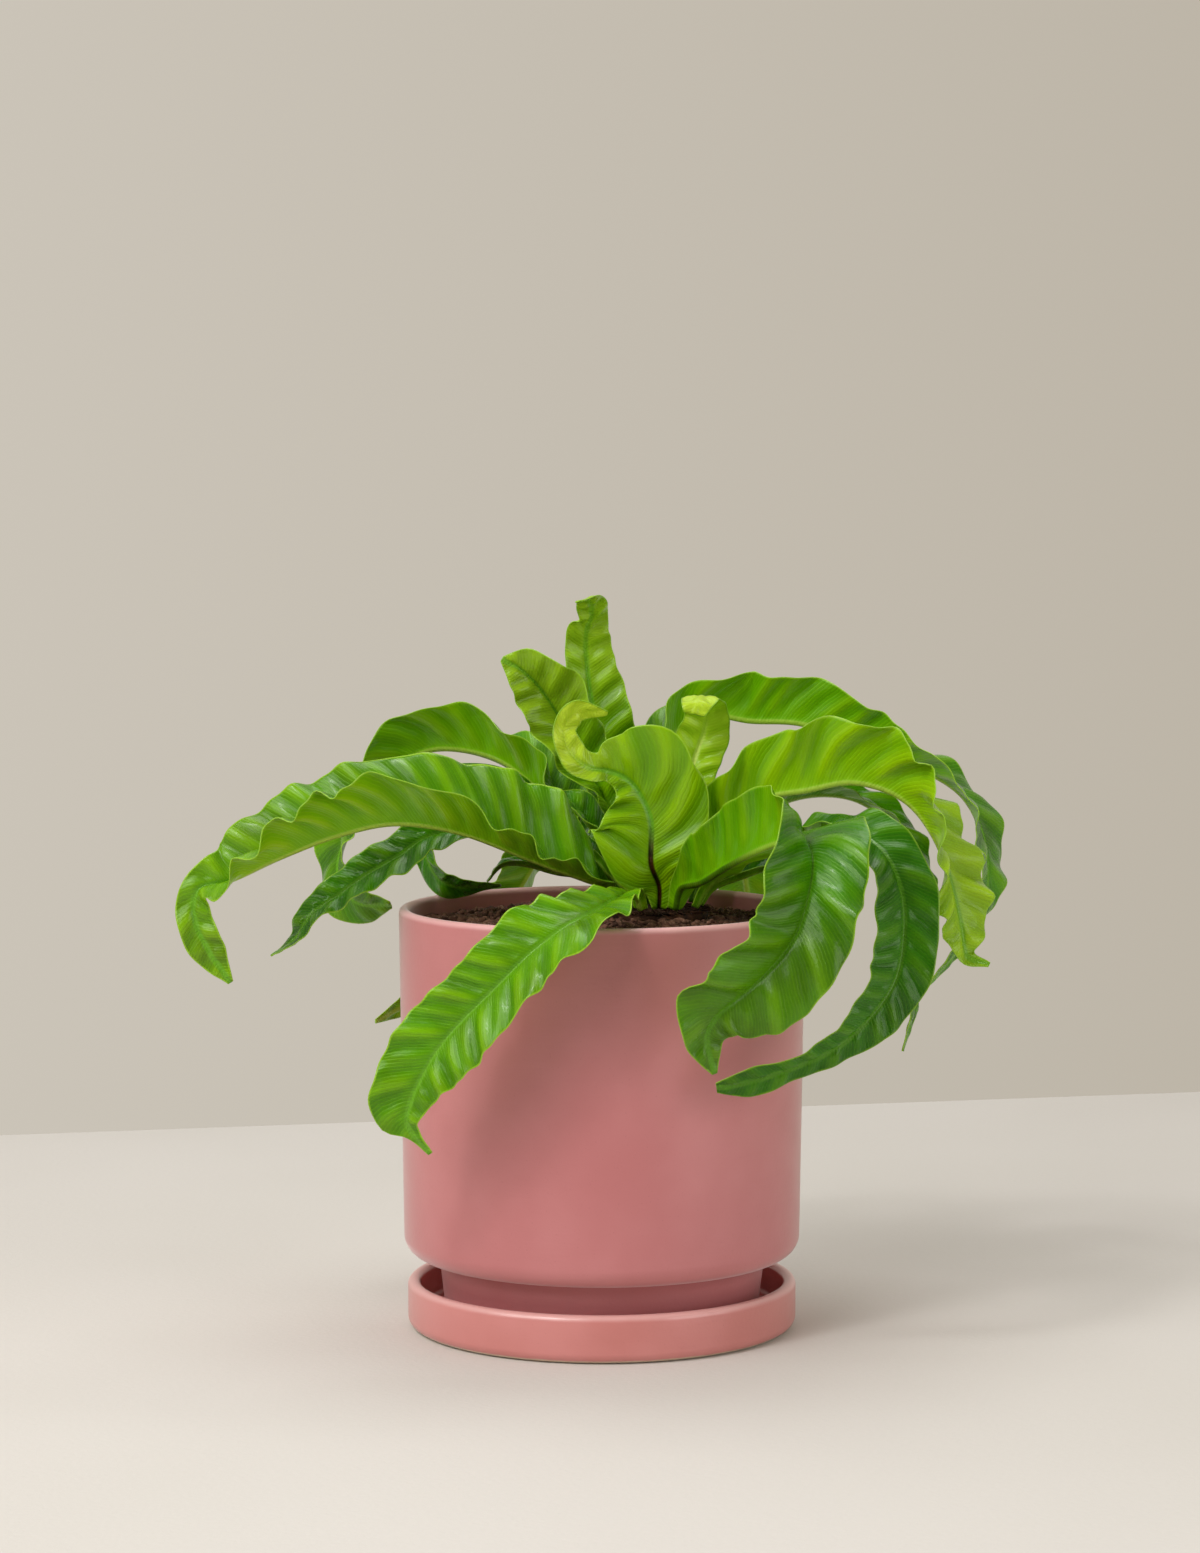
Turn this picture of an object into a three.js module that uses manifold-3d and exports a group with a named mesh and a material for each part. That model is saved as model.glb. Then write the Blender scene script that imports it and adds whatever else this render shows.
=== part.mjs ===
// A bird's-nest fern with waved, pleated fronds, growing in a straight-sided glazed planter
// that stands on its own saucer.
// Millimetres, +Z up. The origin is the centre of the saucer's flat underside, and the viewer's
// side of the plant is -Y.

import * as THREE from 'three';
import { mergeVertices } from 'three/addons/utils/BufferGeometryUtils.js';
import Module from 'manifold-3d';

const wasm = await Module();
wasm.setup();

// ---------------------------------------------------------------- driving dimensions

const REST_GAP = 0.3; // between two pieces that rest on each other
const TURNS = 40; // facets round the pottery
const ARC_STEPS = 3; // facets across a rounded edge
const MOUND_SHARES = [0.85, 0.6, 0.3]; // of its radius, where the mound of mix is drawn
const TANGENT_STEP = 0.02; // rows before and after a point that give its direction

const saucer = {
  channel: 6.7, // from the widest part of the planter's foot out to the wall
  height: 17.5,
  wall: 4.8,
  floor: 5,
  cornerRadius: 4, // lower outside edge
  cornerStart: -70, // degrees from level, where that edge begins
  baseInset: 6, // flat underside in from the wall
};

const planter = {
  height: 150.7, // foot to rim
  rimRadius: 75,
  flare: 1.7, // rim radius over the radius just above the rounded lower edge
  wall: 4,
  shoulderHeight: 21.5, // foot to the underside of the body
  cornerRadius: 7.5, // lower edge of the body
  cornerStart: -85, // degrees from level, where that edge begins
  footSetBack: 12.8, // foot in from the body above it
  footTaper: 2.5, // how much narrower the foot is where it stands
  floor: 7,
  footRingWidth: 7, // the ring that touches the saucer
  footRingDepth: 2,
  drainRadius: 7,
};

const soil = {
  wallGap: 0.3,
  edgeDepth: 7, // below the rim, at the wall
  mound: 3.5, // middle above edge
};

const crown = {
  centre: [20, 5],
  topRadius: 20,
  bottomRadius: 12,
  buried: 26, // length inside the mix
  rise: 2.6, // top above the middle of the mix
  chamfer: 0.8,
  sides: 24,
};

const frond = {
  thickness: 1.5,
  rootHalfWidth: 2.8,
  rootFold: 25,
  stepsPerRow: 3,
};

// The rows of the fronds below are drawn round a rim and on a crown of these radii, for blades
// of this thickness.
const drawn = { rimRadius: 75, crownRadius: 20, thickness: 1.5 };

// ---------------------------------------------------------------- levels that follow from them

const planterFootZ = saucer.floor + REST_GAP;
const rimZ = planterFootZ + planter.height;
const innerFloorZ = planterFootZ + planter.floor;
const shoulderZ = planterFootZ + planter.shoulderHeight;
const soilEdgeZ = rimZ - soil.edgeDepth;
const soilMiddleZ = soilEdgeZ + soil.mound;
const crownTopZ = soilMiddleZ + crown.rise;

// ---------------------------------------------------------------- radii that follow from them

const bodyRadius = planter.rimRadius - planter.flare;
const footRadius = bodyRadius - planter.footSetBack;
const saucerInnerRadius = footRadius + saucer.channel;
const saucerRadius = saucerInnerRadius + saucer.wall;

// ---------------------------------------------------------------- fronds
// Each row is one point of the midrib, from the crown to the tip:
//   [x, y, height above the rim, width left of it, width right of it, roll, fold]
// The upper face looks up when roll is 0, and turns towards the frond's own left as roll grows.
// fold is how far each half of the blade is lifted from flat. heading is the direction in which
// the frond leaves the crown, in degrees from +X towards +Y, and root is where it stands on the
// crown, from the crown's centre. young marks a frond that is still pale.

const fronds = {
  front_drape: {
    heading: 250,
    root: [-6, -16.5],
    rows: [
      [12, -17, 5, 4, 4, 0, 35],
      [6, -42, 7, 9, 9, 0, 22],
      [-4, -72, 5, 15, 15, 6, 18],
      [-14, -85, 1, 17, 17, 3, 16],
      [-26, -89, -8, 16, 16, -3, 20],
      [-38, -89, -20, 16, 15, -3, 20],
      [-49, -88, -31, 17, 15, 0, 18],
      [-58, -87, -42, 15, 16, 3, 16],
      [-65, -86, -55, 9, 15, 5, 14],
      [-68, -85, -65, 5, 13, 5, 10],
      [-66, -84, -71, 3, 3, 0, 5],
      [-60, -83, -78, 1, 1, 0, 0],
    ],
  },
  left_long: {
    heading: 187,
    root: [-15.5, -7],
    rows: [
      [0, -4, 8, 4, 4, 25, 35],
      [-5, -15, 11, 10, 13, 25, 45],
      [-23, -20, 18, 16, 27, 29, 47],
      [-50, -25, 29, 23, 27, 24, 52],
      [-74, -29, 33, 28, 26, 15, 57],
      [-95, -31, 29, 26, 24, 13, 56],
      [-116, -33, 21, 21, 21, 16, 52],
      [-133, -34, 13, 15, 15, 32, 40],
      [-145, -35, 10, 7, 7, 60, 20],
      [-147, -35, 0, 6.5, 6.5, 80, 12],
      [-142, -35, -12, 6.5, 6.5, 80, 8],
      [-134, -35, -24, 1, 1, 80, 0],
    ],
  },
  left_low: {
    heading: 183,
    root: [-17.5, 1],
    rows: [
      [-3, 6, 8, 4, 4, 15, 35],
      [-19, 10, 13, 7, 7, 15, 35],
      [-38, 8, 24, 8, 8, 25, 30],
      [-53, 4, 27, 10, 9, 35, 25],
      [-65, 1, 25, 11, 9, 45, 20],
      [-74, -1, 19, 11, 9, 45, 18],
      [-86, -2, 12, 10, 9, 45, 18],
      [-96, -3, 5, 8, 8, 45, 18],
      [-107, -4, -3, 7, 7, 35, 15],
      [-113, -4, -12, 5, 5, 20, 10],
      [-122, -4, -18, 1, 1, 0, 0],
    ],
  },
  left_arch: {
    heading: 165,
    root: [-8, 5.5],
    rows: [
      [8, 13, 8, 4, 4, 0, 35],
      [-10, 30, 24, 9, 13, 0, 42],
      [-23, 38, 39, 13, 18, 0, 48],
      [-36, 44, 49, 17, 18, -6, 50],
      [-51, 48, 54, 20, 17, -14, 48],
      [-66, 50, 54, 20, 16, -14, 44],
      [-79, 50, 47, 18, 16, -4, 36],
      [-90, 49, 34, 16, 16, 14, 26],
      [-98, 47, 19, 15, 15, 34, 16],
      [-100, 45, 7, 14, 14, 45, 12],
      [-93, 43, -3, 12, 12, 50, 10],
      [-80, 40, -4, 2, 2, 45, 0],
    ],
  },
  left_inner: {
    heading: 172,
    root: [-9.5, -1],
    rows: [
      [6, 4, 8, 4, 4, 0, 35],
      [-19, 20, 30, 8, 8, 0, 42],
      [-42, 28, 44, 10, 10, 0, 35],
      [-58, 31, 41, 10, 10, 15, 25],
      [-66, 32, 26, 9, 9, 30, 15],
      [-65, 32, 13, 8, 8, 40, 10],
      [-57, 30, 5, 7, 7, 45, 10],
      [-38, 26, 5, 1, 1, 30, 0],
    ],
  },
  left_claw: {
    heading: 178,
    root: [-14.5, 9.5],
    rows: [
      [3, 16, 8, 5, 5, 0, 35],
      [-16, 20, 10, 5, 7, 0, 30],
      [-28, 21, 13, 6, 7, 0, 20],
      [-37, 20, 13, 6, 6, 0, 15],
      [-43, 20, 7, 1, 1, 0, 0],
    ],
  },
  inner_left: {
    heading: 170,
    root: [-5, -3.5],
    rows: [
      [14, 0, 8, 4, 4, 10, 35],
      [-1, 2, 25, 8, 8, 10, 35],
      [-10, 0, 36, 9, 9, 20, 30],
      [-17, -2, 43, 1, 1, 0, 0],
    ],
  },
  upper_left: {
    heading: 160,
    root: [-4.5, 2.5],
    rows: [
      [14, 8, 8, 4, 4, 40, 35],
      [1, 20, 37, 9, 9, 40, 45],
      [-8, 20, 54, 13, 13, 60, 42],
      [-16, 18, 69, 14, 17, 70, 38],
      [-23, 14, 80, 12, 17, 75, 32],
      [-30, 10, 87, 8, 11, 80, 25],
      [-37, 8, 91, 1, 1, 80, 0],
    ],
  },
  tallest: {
    heading: 100,
    root: [-1, 10],
    rows: [
      [19, 17, 8, 4, 4, 0, 35],
      [5, 32, 36, 10, 11, 0, 30],
      [-1, 36, 57, 14, 15, 0, 25],
      [-4, 38, 74, 12, 14, 0, 22],
      [-6, 38, 89, 9, 11, 0, 18],
      [-6, 35, 100, 8, 9, -10, 10],
      [-4, 31, 107, 6, 7, -20, 5],
      [-5, 22, 112, 5, 5, -20, 0],
      [-9, 14, 112, 1, 1, -20, 0],
    ],
  },
  front_centre: {
    heading: 180,
    root: [1, -10],
    rows: [
      [21, -6, 8, 7, 7, 88, 20],
      [18, -10, 17, 16, 15, 88, 12],
      [18, -9, 32, 24, 22, 88, 12],
      [14, -9, 42, 16, 24, 90, 14],
      [9, -10, 48, 7, 24, 90, 12],
      [2, -11, 51, 4, 14, 88, 10],
      [-4, -14, 52, 5, 6, 75, 10],
      [-11, -16, 57, 6, 6, 60, 10],
      [-14, -17, 66, 5, 5, 60, 10],
      [-9, -16, 73, 5, 5, 60, 5],
      [2, -13, 72, 1, 1, 60, 0],
    ],
  },
  young_curl: {
    young: true,
    heading: 90,
    root: [4, 1],
    rows: [
      [25, 6, 8, 4, 4, 0, 35],
      [31, 16, 35, 7, 7, 0, 20],
      [34, 20, 51, 10, 10, 0, 15],
      [38, 21, 63, 10, 10, 0, 15],
      [39, 17, 72, 8, 8, 0, 10],
      [37, 9, 77, 7, 7, 0, 10],
      [35, 2, 75, 6, 6, 0, 5],
      [34, 0, 71, 4, 4, 0, 0],
    ],
  },
  right_front: {
    heading: 315,
    root: [7, -16],
    rows: [
      [29, -15, 8, 10, 5, 30, 35],
      [36, -25, 11, 17, 15, 30, 40],
      [45, -38, 18, 19, 18, 36, 42],
      [55, -52, 25, 21, 21, 38, 42],
      [65, -66, 30, 22, 21, 36, 40],
      [71, -78, 30, 23, 20, 12, 40],
      [73, -87, 25, 21, 21, -22, 36],
      [71, -93, 13, 20, 21, -36, 30],
      [66, -96, -1, 20, 20, -40, 28],
      [55, -98, -14, 20, 20, -40, 26],
      [46, -98, -22, 16, 20, -40, 22],
      [39, -98, -28, 10, 17, -35, 16],
      [36, -97, -36, 7, 9, -25, 10],
      [39, -95, -48, 1, 1, -20, 0],
    ],
  },
  right_middle: {
    heading: 335,
    root: [15, -8],
    rows: [
      [40, -5, 8, 4, 4, 0, 35],
      [53, -14, 18, 9, 9, 0, 36],
      [69, -25, 25, 12, 12, 0, 34],
      [82, -34, 29, 13, 13, -5, 32],
      [93, -42, 29, 13, 13, -15, 28],
      [101, -48, 23, 13, 13, -27, 24],
      [106, -53, 12, 13, 13, -36, 18],
      [107, -58, -2, 13, 13, -42, 15],
      [104, -64, -18, 12, 12, -45, 12],
      [95, -70, -31, 10, 10, -45, 12],
      [82, -75, -42, 6, 7, -48, 10],
      [65, -79, -49, 5, 5, -52, 10],
      [51, -81, -53, 6, 6, -56, 8],
      [40, -82, -55, 2, 2, -60, 0],
    ],
  },
  right_arch: {
    heading: 350,
    root: [8.5, -4],
    rows: [
      [32, -1, 8, 4, 4, 25, 35],
      [44, -2, 30, 13, 13, 25, 42],
      [60, -4, 40, 20, 20, 33, 42],
      [75, -5, 43, 25, 25, 35, 42],
      [91, -6, 46, 25, 25, 32, 42],
      [105, -9, 43, 24, 24, 25, 38],
      [115, -13, 36, 21, 20, 9, 32],
      [123, -17, 23, 18, 16, -10, 24],
      [128, -19, 7, 16, 14, -32, 16],
      [131, -20, -6, 11, 10, -46, 10],
      [133, -21, -16, 4, 4, -50, 5],
      [141, -23, -19, 1, 1, -50, 0],
    ],
  },
  right_high: {
    heading: 20,
    root: [7.5, 6.5],
    rows: [
      [30, 14, 8, 4, 4, 0, 35],
      [22, 42, 39, 9, 9, 0, 40],
      [25, 50, 57, 12, 12, 10, 40],
      [39, 54, 67, 16, 16, 25, 42],
      [57, 54, 65, 19, 19, 30, 42],
      [76, 52, 64, 19, 19, 30, 40],
      [97, 48, 57, 18, 17, 22, 35],
      [118, 44, 49, 17, 14, 2, 27],
      [136, 40, 38, 16, 14, -24, 18],
      [144, 36, 22, 15, 14, -42, 12],
      [145, 32, 3, 11, 10, -45, 10],
      [140, 29, -12, 6, 6, -45, 8],
      [131, 25, -23, 4, 4, -45, 5],
      [122, 22, -33, 1, 1, -40, 0],
    ],
  },
  right_behind: {
    heading: 12,
    root: [14, 9.5],
    rows: [
      [38, 17, 8, 4, 4, 0, 35],
      [50, 26, 25, 9, 9, 0, 35],
      [71, 30, 37, 12, 12, 0, 30],
      [92, 30, 38, 12, 12, -10, 25],
      [108, 27, 29, 13, 13, -20, 20],
      [117, 22, 15, 12, 12, -30, 15],
      [121, 16, -4, 9, 9, -30, 12],
      [120, 11, -22, 7, 7, -30, 10],
      [116, 8, -39, 5, 5, -30, 8],
      [112, 6, -55, 1, 1, -30, 0],
    ],
  },
  right_low: {
    heading: 5,
    root: [17, 0.5],
    rows: [
      [42, 6, 6, 4, 4, -10, 35],
      [52, 8, 10, 8, 8, -10, 28],
      [62, 10, 13, 11, 11, -15, 24],
      [72, 11, 14, 11, 11, -15, 20],
      [83, 11, 12, 8, 8, -10, 15],
      [92, 11, 6, 1, 1, 0, 0],
    ],
  },
  back_left: {
    heading: 140,
    root: [-8.5, 15],
    rows: [
      [2, 39, 15, 6, 6, 0, 40],
      [-5, 58, 29, 10, 10, 0, 38],
      [-12, 78, 29, 12, 12, 0, 30],
      [-22, 93, 14, 14, 14, 0, 22],
      [-35, 99, -8, 14, 14, 0, 15],
      [-52, 96, -28, 12, 12, 0, 12],
      [-72, 86, -45, 7, 7, 0, 10],
      [-88, 72, -53, 1, 1, 0, 0],
    ],
  },
  back_middle: {
    heading: 95,
    root: [-0.5, 17.5],
    rows: [
      [19, 42, 18, 6, 6, 0, 40],
      [16, 62, 40, 13, 13, 0, 40],
      [14, 84, 46, 16, 16, 0, 30],
      [13, 101, 34, 16, 16, 0, 20],
      [14, 108, 12, 14, 14, 0, 15],
      [16, 108, -12, 10, 10, 0, 10],
      [18, 104, -30, 1, 1, 0, 0],
    ],
  },
  back_right: {
    heading: 72,
    root: [8, 15.5],
    rows: [
      [34, 38, 14, 6, 6, 0, 40],
      [42, 58, 26, 13, 13, 0, 35],
      [48, 78, 26, 16, 16, 0, 28],
      [54, 94, 12, 16, 16, 0, 20],
      [58, 102, -10, 14, 14, 0, 15],
      [58, 102, -32, 10, 10, 0, 10],
      [54, 98, -50, 1, 1, 0, 0],
    ],
  },
};

// ---------------------------------------------------------------- geometry helpers

const radians = THREE.MathUtils.degToRad;

const signedVolume = (geometry) => {
  const corners = geometry.attributes.position;
  const index = geometry.index;
  const [a, b, c] = [new THREE.Vector3(), new THREE.Vector3(), new THREE.Vector3()];
  let sum = 0;
  for (let i = 0; i < index.count; i += 3) {
    a.fromBufferAttribute(corners, index.getX(i));
    b.fromBufferAttribute(corners, index.getX(i + 1));
    c.fromBufferAttribute(corners, index.getX(i + 2));
    sum += a.dot(b.cross(c)) / 6;
  }
  return sum;
};

// Shared corners merged, no flat triangles, and every face pointing out.
const closedSolid = (source) => {
  source.deleteAttribute('normal');
  source.deleteAttribute('uv');
  const geometry = mergeVertices(source, 1e-4);
  const faces = [];
  for (let i = 0; i < geometry.index.count; i += 3) {
    const face = [0, 1, 2].map((k) => geometry.index.getX(i + k));
    if (new Set(face).size === 3) {
      faces.push(face);
    }
  }
  geometry.setIndex(faces.flat());
  if (signedVolume(geometry) < 0) {
    geometry.setIndex(faces.map(([a, b, c]) => [a, c, b]).flat());
  }
  geometry.computeVertexNormals();
  return geometry;
};

// A profile of [radius, z] points turned about the Z axis.
const turned = (profile, sides) => {
  const points = profile.map(([radius, z]) => new THREE.Vector2(radius, z));
  return closedSolid(new THREE.LatheGeometry(points, sides).rotateX(Math.PI / 2));
};

// Points on an arc in the [radius, z] plane, angles in degrees from +radius towards +z.
const arc = (radius, z, size, from, to) => {
  const points = [];
  for (let i = 0; i <= ARC_STEPS; i += 1) {
    const angle = radians(from + ((to - from) * i) / ARC_STEPS);
    points.push([radius + size * Math.cos(angle), z + size * Math.sin(angle)]);
  }
  return points;
};

const toManifold = (geometry) =>
  new wasm.Manifold(
    new wasm.Mesh({
      numProp: 3,
      vertProperties: new Float32Array(geometry.attributes.position.array),
      triVerts: new Uint32Array(geometry.index.array),
    }),
  );

const fromManifold = (solid) => {
  const mesh = solid.getMesh();
  const geometry = new THREE.BufferGeometry();
  geometry.setAttribute('position', new THREE.BufferAttribute(mesh.vertProperties, 3));
  geometry.setIndex(new THREE.BufferAttribute(mesh.triVerts, 1));
  return closedSolid(geometry);
};

// A point inside the drawn rim keeps its share of the rim radius, and one beyond it keeps its
// distance outside the rim, so the fronds still clear a wider or narrower planter.
const placed = ([x, y]) => {
  const reach = Math.hypot(x, y);
  const grown =
    reach < drawn.rimRadius
      ? (reach * planter.rimRadius) / drawn.rimRadius
      : reach + planter.rimRadius - drawn.rimRadius;
  const scale = reach > 0 ? grown / reach : 1;
  return [x * scale, y * scale];
};

const crownCentre = placed(crown.centre);

// ---------------------------------------------------------------- pottery and planting mix

const saucerGeometry = () => {
  const { height, wall, floor, cornerRadius, cornerStart, baseInset } = saucer;
  const lip = wall / 2;
  return turned(
    [
      [0, 0],
      [saucerRadius - baseInset, 0],
      ...arc(saucerRadius - cornerRadius, cornerRadius, cornerRadius, cornerStart, 0),
      ...arc(saucerRadius - lip, height - lip, lip, 0, 180),
      [saucerInnerRadius, floor + lip],
      [saucerInnerRadius - lip, floor],
      [0, floor],
    ],
    TURNS,
  );
};

// The inside of the planter, from its floor up to the rim, at one distance in from the wall.
const cavityProfile = (gap) => {
  const { rimRadius, wall, cornerRadius, footTaper } = planter;
  const footInner = footRadius - wall - gap;
  const bodyInner = bodyRadius - wall - gap;
  const innerCorner = cornerRadius - wall / 2;
  return [
    [footInner - footTaper, innerFloorZ + gap],
    [footInner, shoulderZ + gap],
    [bodyInner - innerCorner, shoulderZ + wall + gap],
    [bodyInner, shoulderZ + wall + innerCorner + gap],
    [rimRadius - wall - gap, rimZ],
  ];
};

const planterGeometry = () => {
  const { rimRadius, wall, cornerRadius, cornerStart, footTaper } = planter;
  const { footRingWidth, footRingDepth, drainRadius } = planter;
  const lip = wall / 2;
  const standRadius = footRadius - footTaper;
  const cavity = cavityProfile(0);
  return turned(
    [
      [drainRadius, planterFootZ + footRingDepth],
      [standRadius - footRingWidth - footRingDepth, planterFootZ + footRingDepth],
      [standRadius - footRingWidth, planterFootZ],
      [standRadius, planterFootZ],
      [footRadius, shoulderZ],
      ...arc(bodyRadius - cornerRadius, shoulderZ + cornerRadius, cornerRadius, cornerStart, 0),
      ...arc(rimRadius - lip, rimZ - lip, lip, 0, 180),
      ...cavity.slice(0, -1).reverse(),
      [drainRadius, innerFloorZ],
      [drainRadius, planterFootZ + footRingDepth],
    ],
    TURNS,
  );
};

const crownProfile = (gap) => [
  [0, soilMiddleZ - crown.buried - gap],
  [crown.bottomRadius + gap, soilMiddleZ - crown.buried - gap],
  [crown.topRadius + gap, crownTopZ - crown.rise],
  [crown.topRadius + gap, crownTopZ - crown.chamfer],
  [crown.topRadius - crown.chamfer + gap, crownTopZ + gap],
  [0, crownTopZ + gap],
];

const crownGeometry = (gap) => turned(crownProfile(gap), crown.sides).translate(...crownCentre, 0);

const mixGeometry = () => {
  const wallProfile = cavityProfile(soil.wallGap).slice(0, -1);
  const edgeRadius = planter.rimRadius - planter.wall - soil.wallGap;
  const topShare = (soilEdgeZ - shoulderZ) / (rimZ - shoulderZ);
  const bodyInner = bodyRadius - planter.wall - soil.wallGap;
  const edge = bodyInner + (edgeRadius - bodyInner) * topShare - soil.wallGap;
  const mound = MOUND_SHARES.map((share) => [
    edge * share,
    soilEdgeZ + soil.mound * (1 - share * share),
  ]);
  const filled = turned(
    [[0, innerFloorZ + soil.wallGap], ...wallProfile, [edge, soilEdgeZ], ...mound, [0, soilMiddleZ]],
    TURNS,
  );
  return fromManifold(toManifold(filled).subtract(toManifold(crownGeometry(REST_GAP))));
};

// ---------------------------------------------------------------- frond blades

// The rows as [x, y, z, left, right, roll, fold], with the root on the crown in front.
const frondRows = ({ root, rows }) => {
  const { rootHalfWidth, rootFold } = frond;
  const rootSpread = crown.topRadius / drawn.crownRadius;
  const [seatX, seatY] = root.map((offset, k) => crownCentre[k] + offset * rootSpread);
  const roll = rows[0][5];
  return [
    [seatX, seatY, crownTopZ + REST_GAP, rootHalfWidth, rootHalfWidth, roll, rootFold],
    ...rows.map(([x, y, up, ...rest]) => [...placed([x, y]), rimZ + up, ...rest]),
  ];
};

// Catmull-Rom interpolation of whole rows; t counts rows.
const rowAt = (rows, t) => {
  const i = Math.min(Math.floor(t), rows.length - 2);
  const u = t - i;
  const here = rows[i];
  const next = rows[i + 1];
  const before = rows[i - 1] ?? here.map((value, k) => 2 * value - next[k]);
  const after = rows[i + 2] ?? next.map((value, k) => 2 * value - here[k]);
  return here.map((value, k) => {
    const slope = next[k] - before[k];
    const bend = 2 * before[k] - 5 * value + 4 * next[k] - after[k];
    const twist = 3 * value - before[k] - 3 * next[k] + after[k];
    return 0.5 * (2 * value + slope * u + bend * u * u + twist * u * u * u);
  });
};

const vector = ([x, y, z]) => new THREE.Vector3(x, y, z);

// The cross-section at t: top and bottom corners at the left edge, the midrib and the right edge.
const sectionAt = (rows, heading, t) => {
  const end = rows.length - 1;
  const [x, y, z, left, right, roll, fold] = rowAt(rows, t);
  const ahead = vector(rowAt(rows, Math.min(t + TANGENT_STEP, end)));
  const along = ahead.sub(vector(rowAt(rows, Math.max(t - TANGENT_STEP, 0)))).normalize();
  const level = new THREE.Vector3(-Math.sin(radians(heading)), Math.cos(radians(heading)), 0);
  const side = level.addScaledVector(along, -level.dot(along)).normalize();
  side.applyAxisAngle(along, radians(-roll));
  const up = along.clone().cross(side);
  const rib = new THREE.Vector3(x, y, z);
  const rise = radians(fold);
  const half = frond.thickness / 2;
  // A thicker blade draws its margins in, so that it still clears its neighbours.
  const drawnIn = frond.thickness - drawn.thickness;
  const corners = [1, 0, -1].map((edge) => {
    const point = rib.clone();
    const normal = up.clone();
    if (edge !== 0) {
      const width = (edge > 0 ? left : right) - drawnIn;
      point.addScaledVector(side, edge * width * Math.cos(rise));
      point.addScaledVector(up, width * Math.sin(rise));
      normal.multiplyScalar(Math.cos(rise)).addScaledVector(side, -edge * Math.sin(rise));
    } else {
      normal.divideScalar(Math.cos(rise));
    }
    const top = point.clone().addScaledVector(normal, half);
    return { top, bottom: point.addScaledVector(normal, -half) };
  });
  return [...corners.map((c) => c.top), ...corners.reverse().map((c) => c.bottom)];
};

// The triangles that close each end, by corner of its cross-section.
const END_FACES = [[0, 1, 4], [0, 4, 5], [1, 2, 3], [1, 3, 4]];

const frondGeometry = (shape) => {
  const rows = frondRows(shape);
  const steps = (rows.length - 1) * frond.stepsPerRow;
  const sections = [];
  for (let i = 0; i <= steps; i += 1) {
    sections.push(sectionAt(rows, shape.heading, i / frond.stepsPerRow));
  }
  // The root is cut level where it stands on the crown.
  sections[0].forEach((corner) => {
    corner.z = crownTopZ + REST_GAP;
  });
  const ring = sections[0].length;
  const faces = [];
  for (let i = 0; i < steps; i += 1) {
    for (let k = 0; k < ring; k += 1) {
      const a = i * ring + k;
      const b = i * ring + ((k + 1) % ring);
      faces.push(a, b, b + ring, a, b + ring, a + ring);
    }
  }
  for (const [start, flip] of [[0, true], [steps * ring, false]]) {
    for (const [a, b, c] of END_FACES) {
      faces.push(start + a, start + (flip ? c : b), start + (flip ? b : c));
    }
  }
  const geometry = new THREE.BufferGeometry();
  const corners = sections.flat().flatMap((corner) => corner.toArray());
  geometry.setAttribute('position', new THREE.Float32BufferAttribute(corners, 3));
  geometry.setIndex(faces);
  return closedSolid(geometry);
};

// ---------------------------------------------------------------- the assembled plant

const material = (color, roughness) =>
  new THREE.MeshStandardMaterial({ color, roughness, metalness: 0 });

const glaze = material('#b96e6c', 0.5);
const saucerGlaze = material('#b9685f', 0.4);
const mixMaterial = material('#4a2f25', 0.95);
const crownMaterial = material('#4d3a22', 0.9);
const leafGreen = material('#4f9412', 0.35);
const youngGreen = material('#9bc92c', 0.4);

const pottedFern = new THREE.Group();

const add = (name, geometry, finish) => {
  const mesh = new THREE.Mesh(geometry, finish.clone());
  mesh.name = name;
  pottedFern.add(mesh);
};

add('saucer', saucerGeometry(), saucerGlaze);
add('planter', planterGeometry(), glaze);
add('potting_mix', mixGeometry(), mixMaterial);
add('crown', crownGeometry(0), crownMaterial);
for (const [name, shape] of Object.entries(fronds)) {
  add(`frond_${name}`, frondGeometry(shape), shape.young ? youngGreen : leafGreen);
}

export default pottedFern;
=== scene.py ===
import math

import bpy
import numpy as np
from mathutils import Matrix, Vector, noise


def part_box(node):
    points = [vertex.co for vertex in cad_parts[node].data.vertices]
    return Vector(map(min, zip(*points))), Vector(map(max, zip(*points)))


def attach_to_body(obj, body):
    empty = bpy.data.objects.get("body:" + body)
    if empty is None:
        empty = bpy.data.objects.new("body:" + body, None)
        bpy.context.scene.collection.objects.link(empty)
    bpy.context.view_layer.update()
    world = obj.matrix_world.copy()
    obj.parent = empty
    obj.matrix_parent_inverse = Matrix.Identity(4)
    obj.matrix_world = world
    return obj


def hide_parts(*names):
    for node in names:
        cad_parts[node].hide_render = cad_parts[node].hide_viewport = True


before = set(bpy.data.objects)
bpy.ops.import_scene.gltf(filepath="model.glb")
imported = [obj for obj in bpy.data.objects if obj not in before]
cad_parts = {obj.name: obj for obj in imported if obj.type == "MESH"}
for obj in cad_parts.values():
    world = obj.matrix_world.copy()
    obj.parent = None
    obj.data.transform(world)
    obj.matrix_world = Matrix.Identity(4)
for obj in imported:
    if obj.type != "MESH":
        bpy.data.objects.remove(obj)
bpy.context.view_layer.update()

MM = 0.001

# ---------------------------------------------------------------- sizes shared with the CAD, in mm

SAUCER = dict(radius=72, base=68, height=17.5, wall=4.8, floor=5, corner=4)
PLANTER = dict(
    rim=75, body=73.3, wall=4, shoulder=21.5, corner=7.5, foot=60.5, taper=2.5,
    floor=7, ring_width=7, ring_depth=2, drain=7,
)
SOIL = dict(wall_gap=0.3, mound=3.5)
CROWN = dict(centre=(20, 5), radius=20, bottom=12, rise=2.6)
REST_GAP = 0.3
DRAWN_RIM = 75
ROOT_HALF_WIDTH = 2.8
ROOT_FOLD = 25

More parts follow.
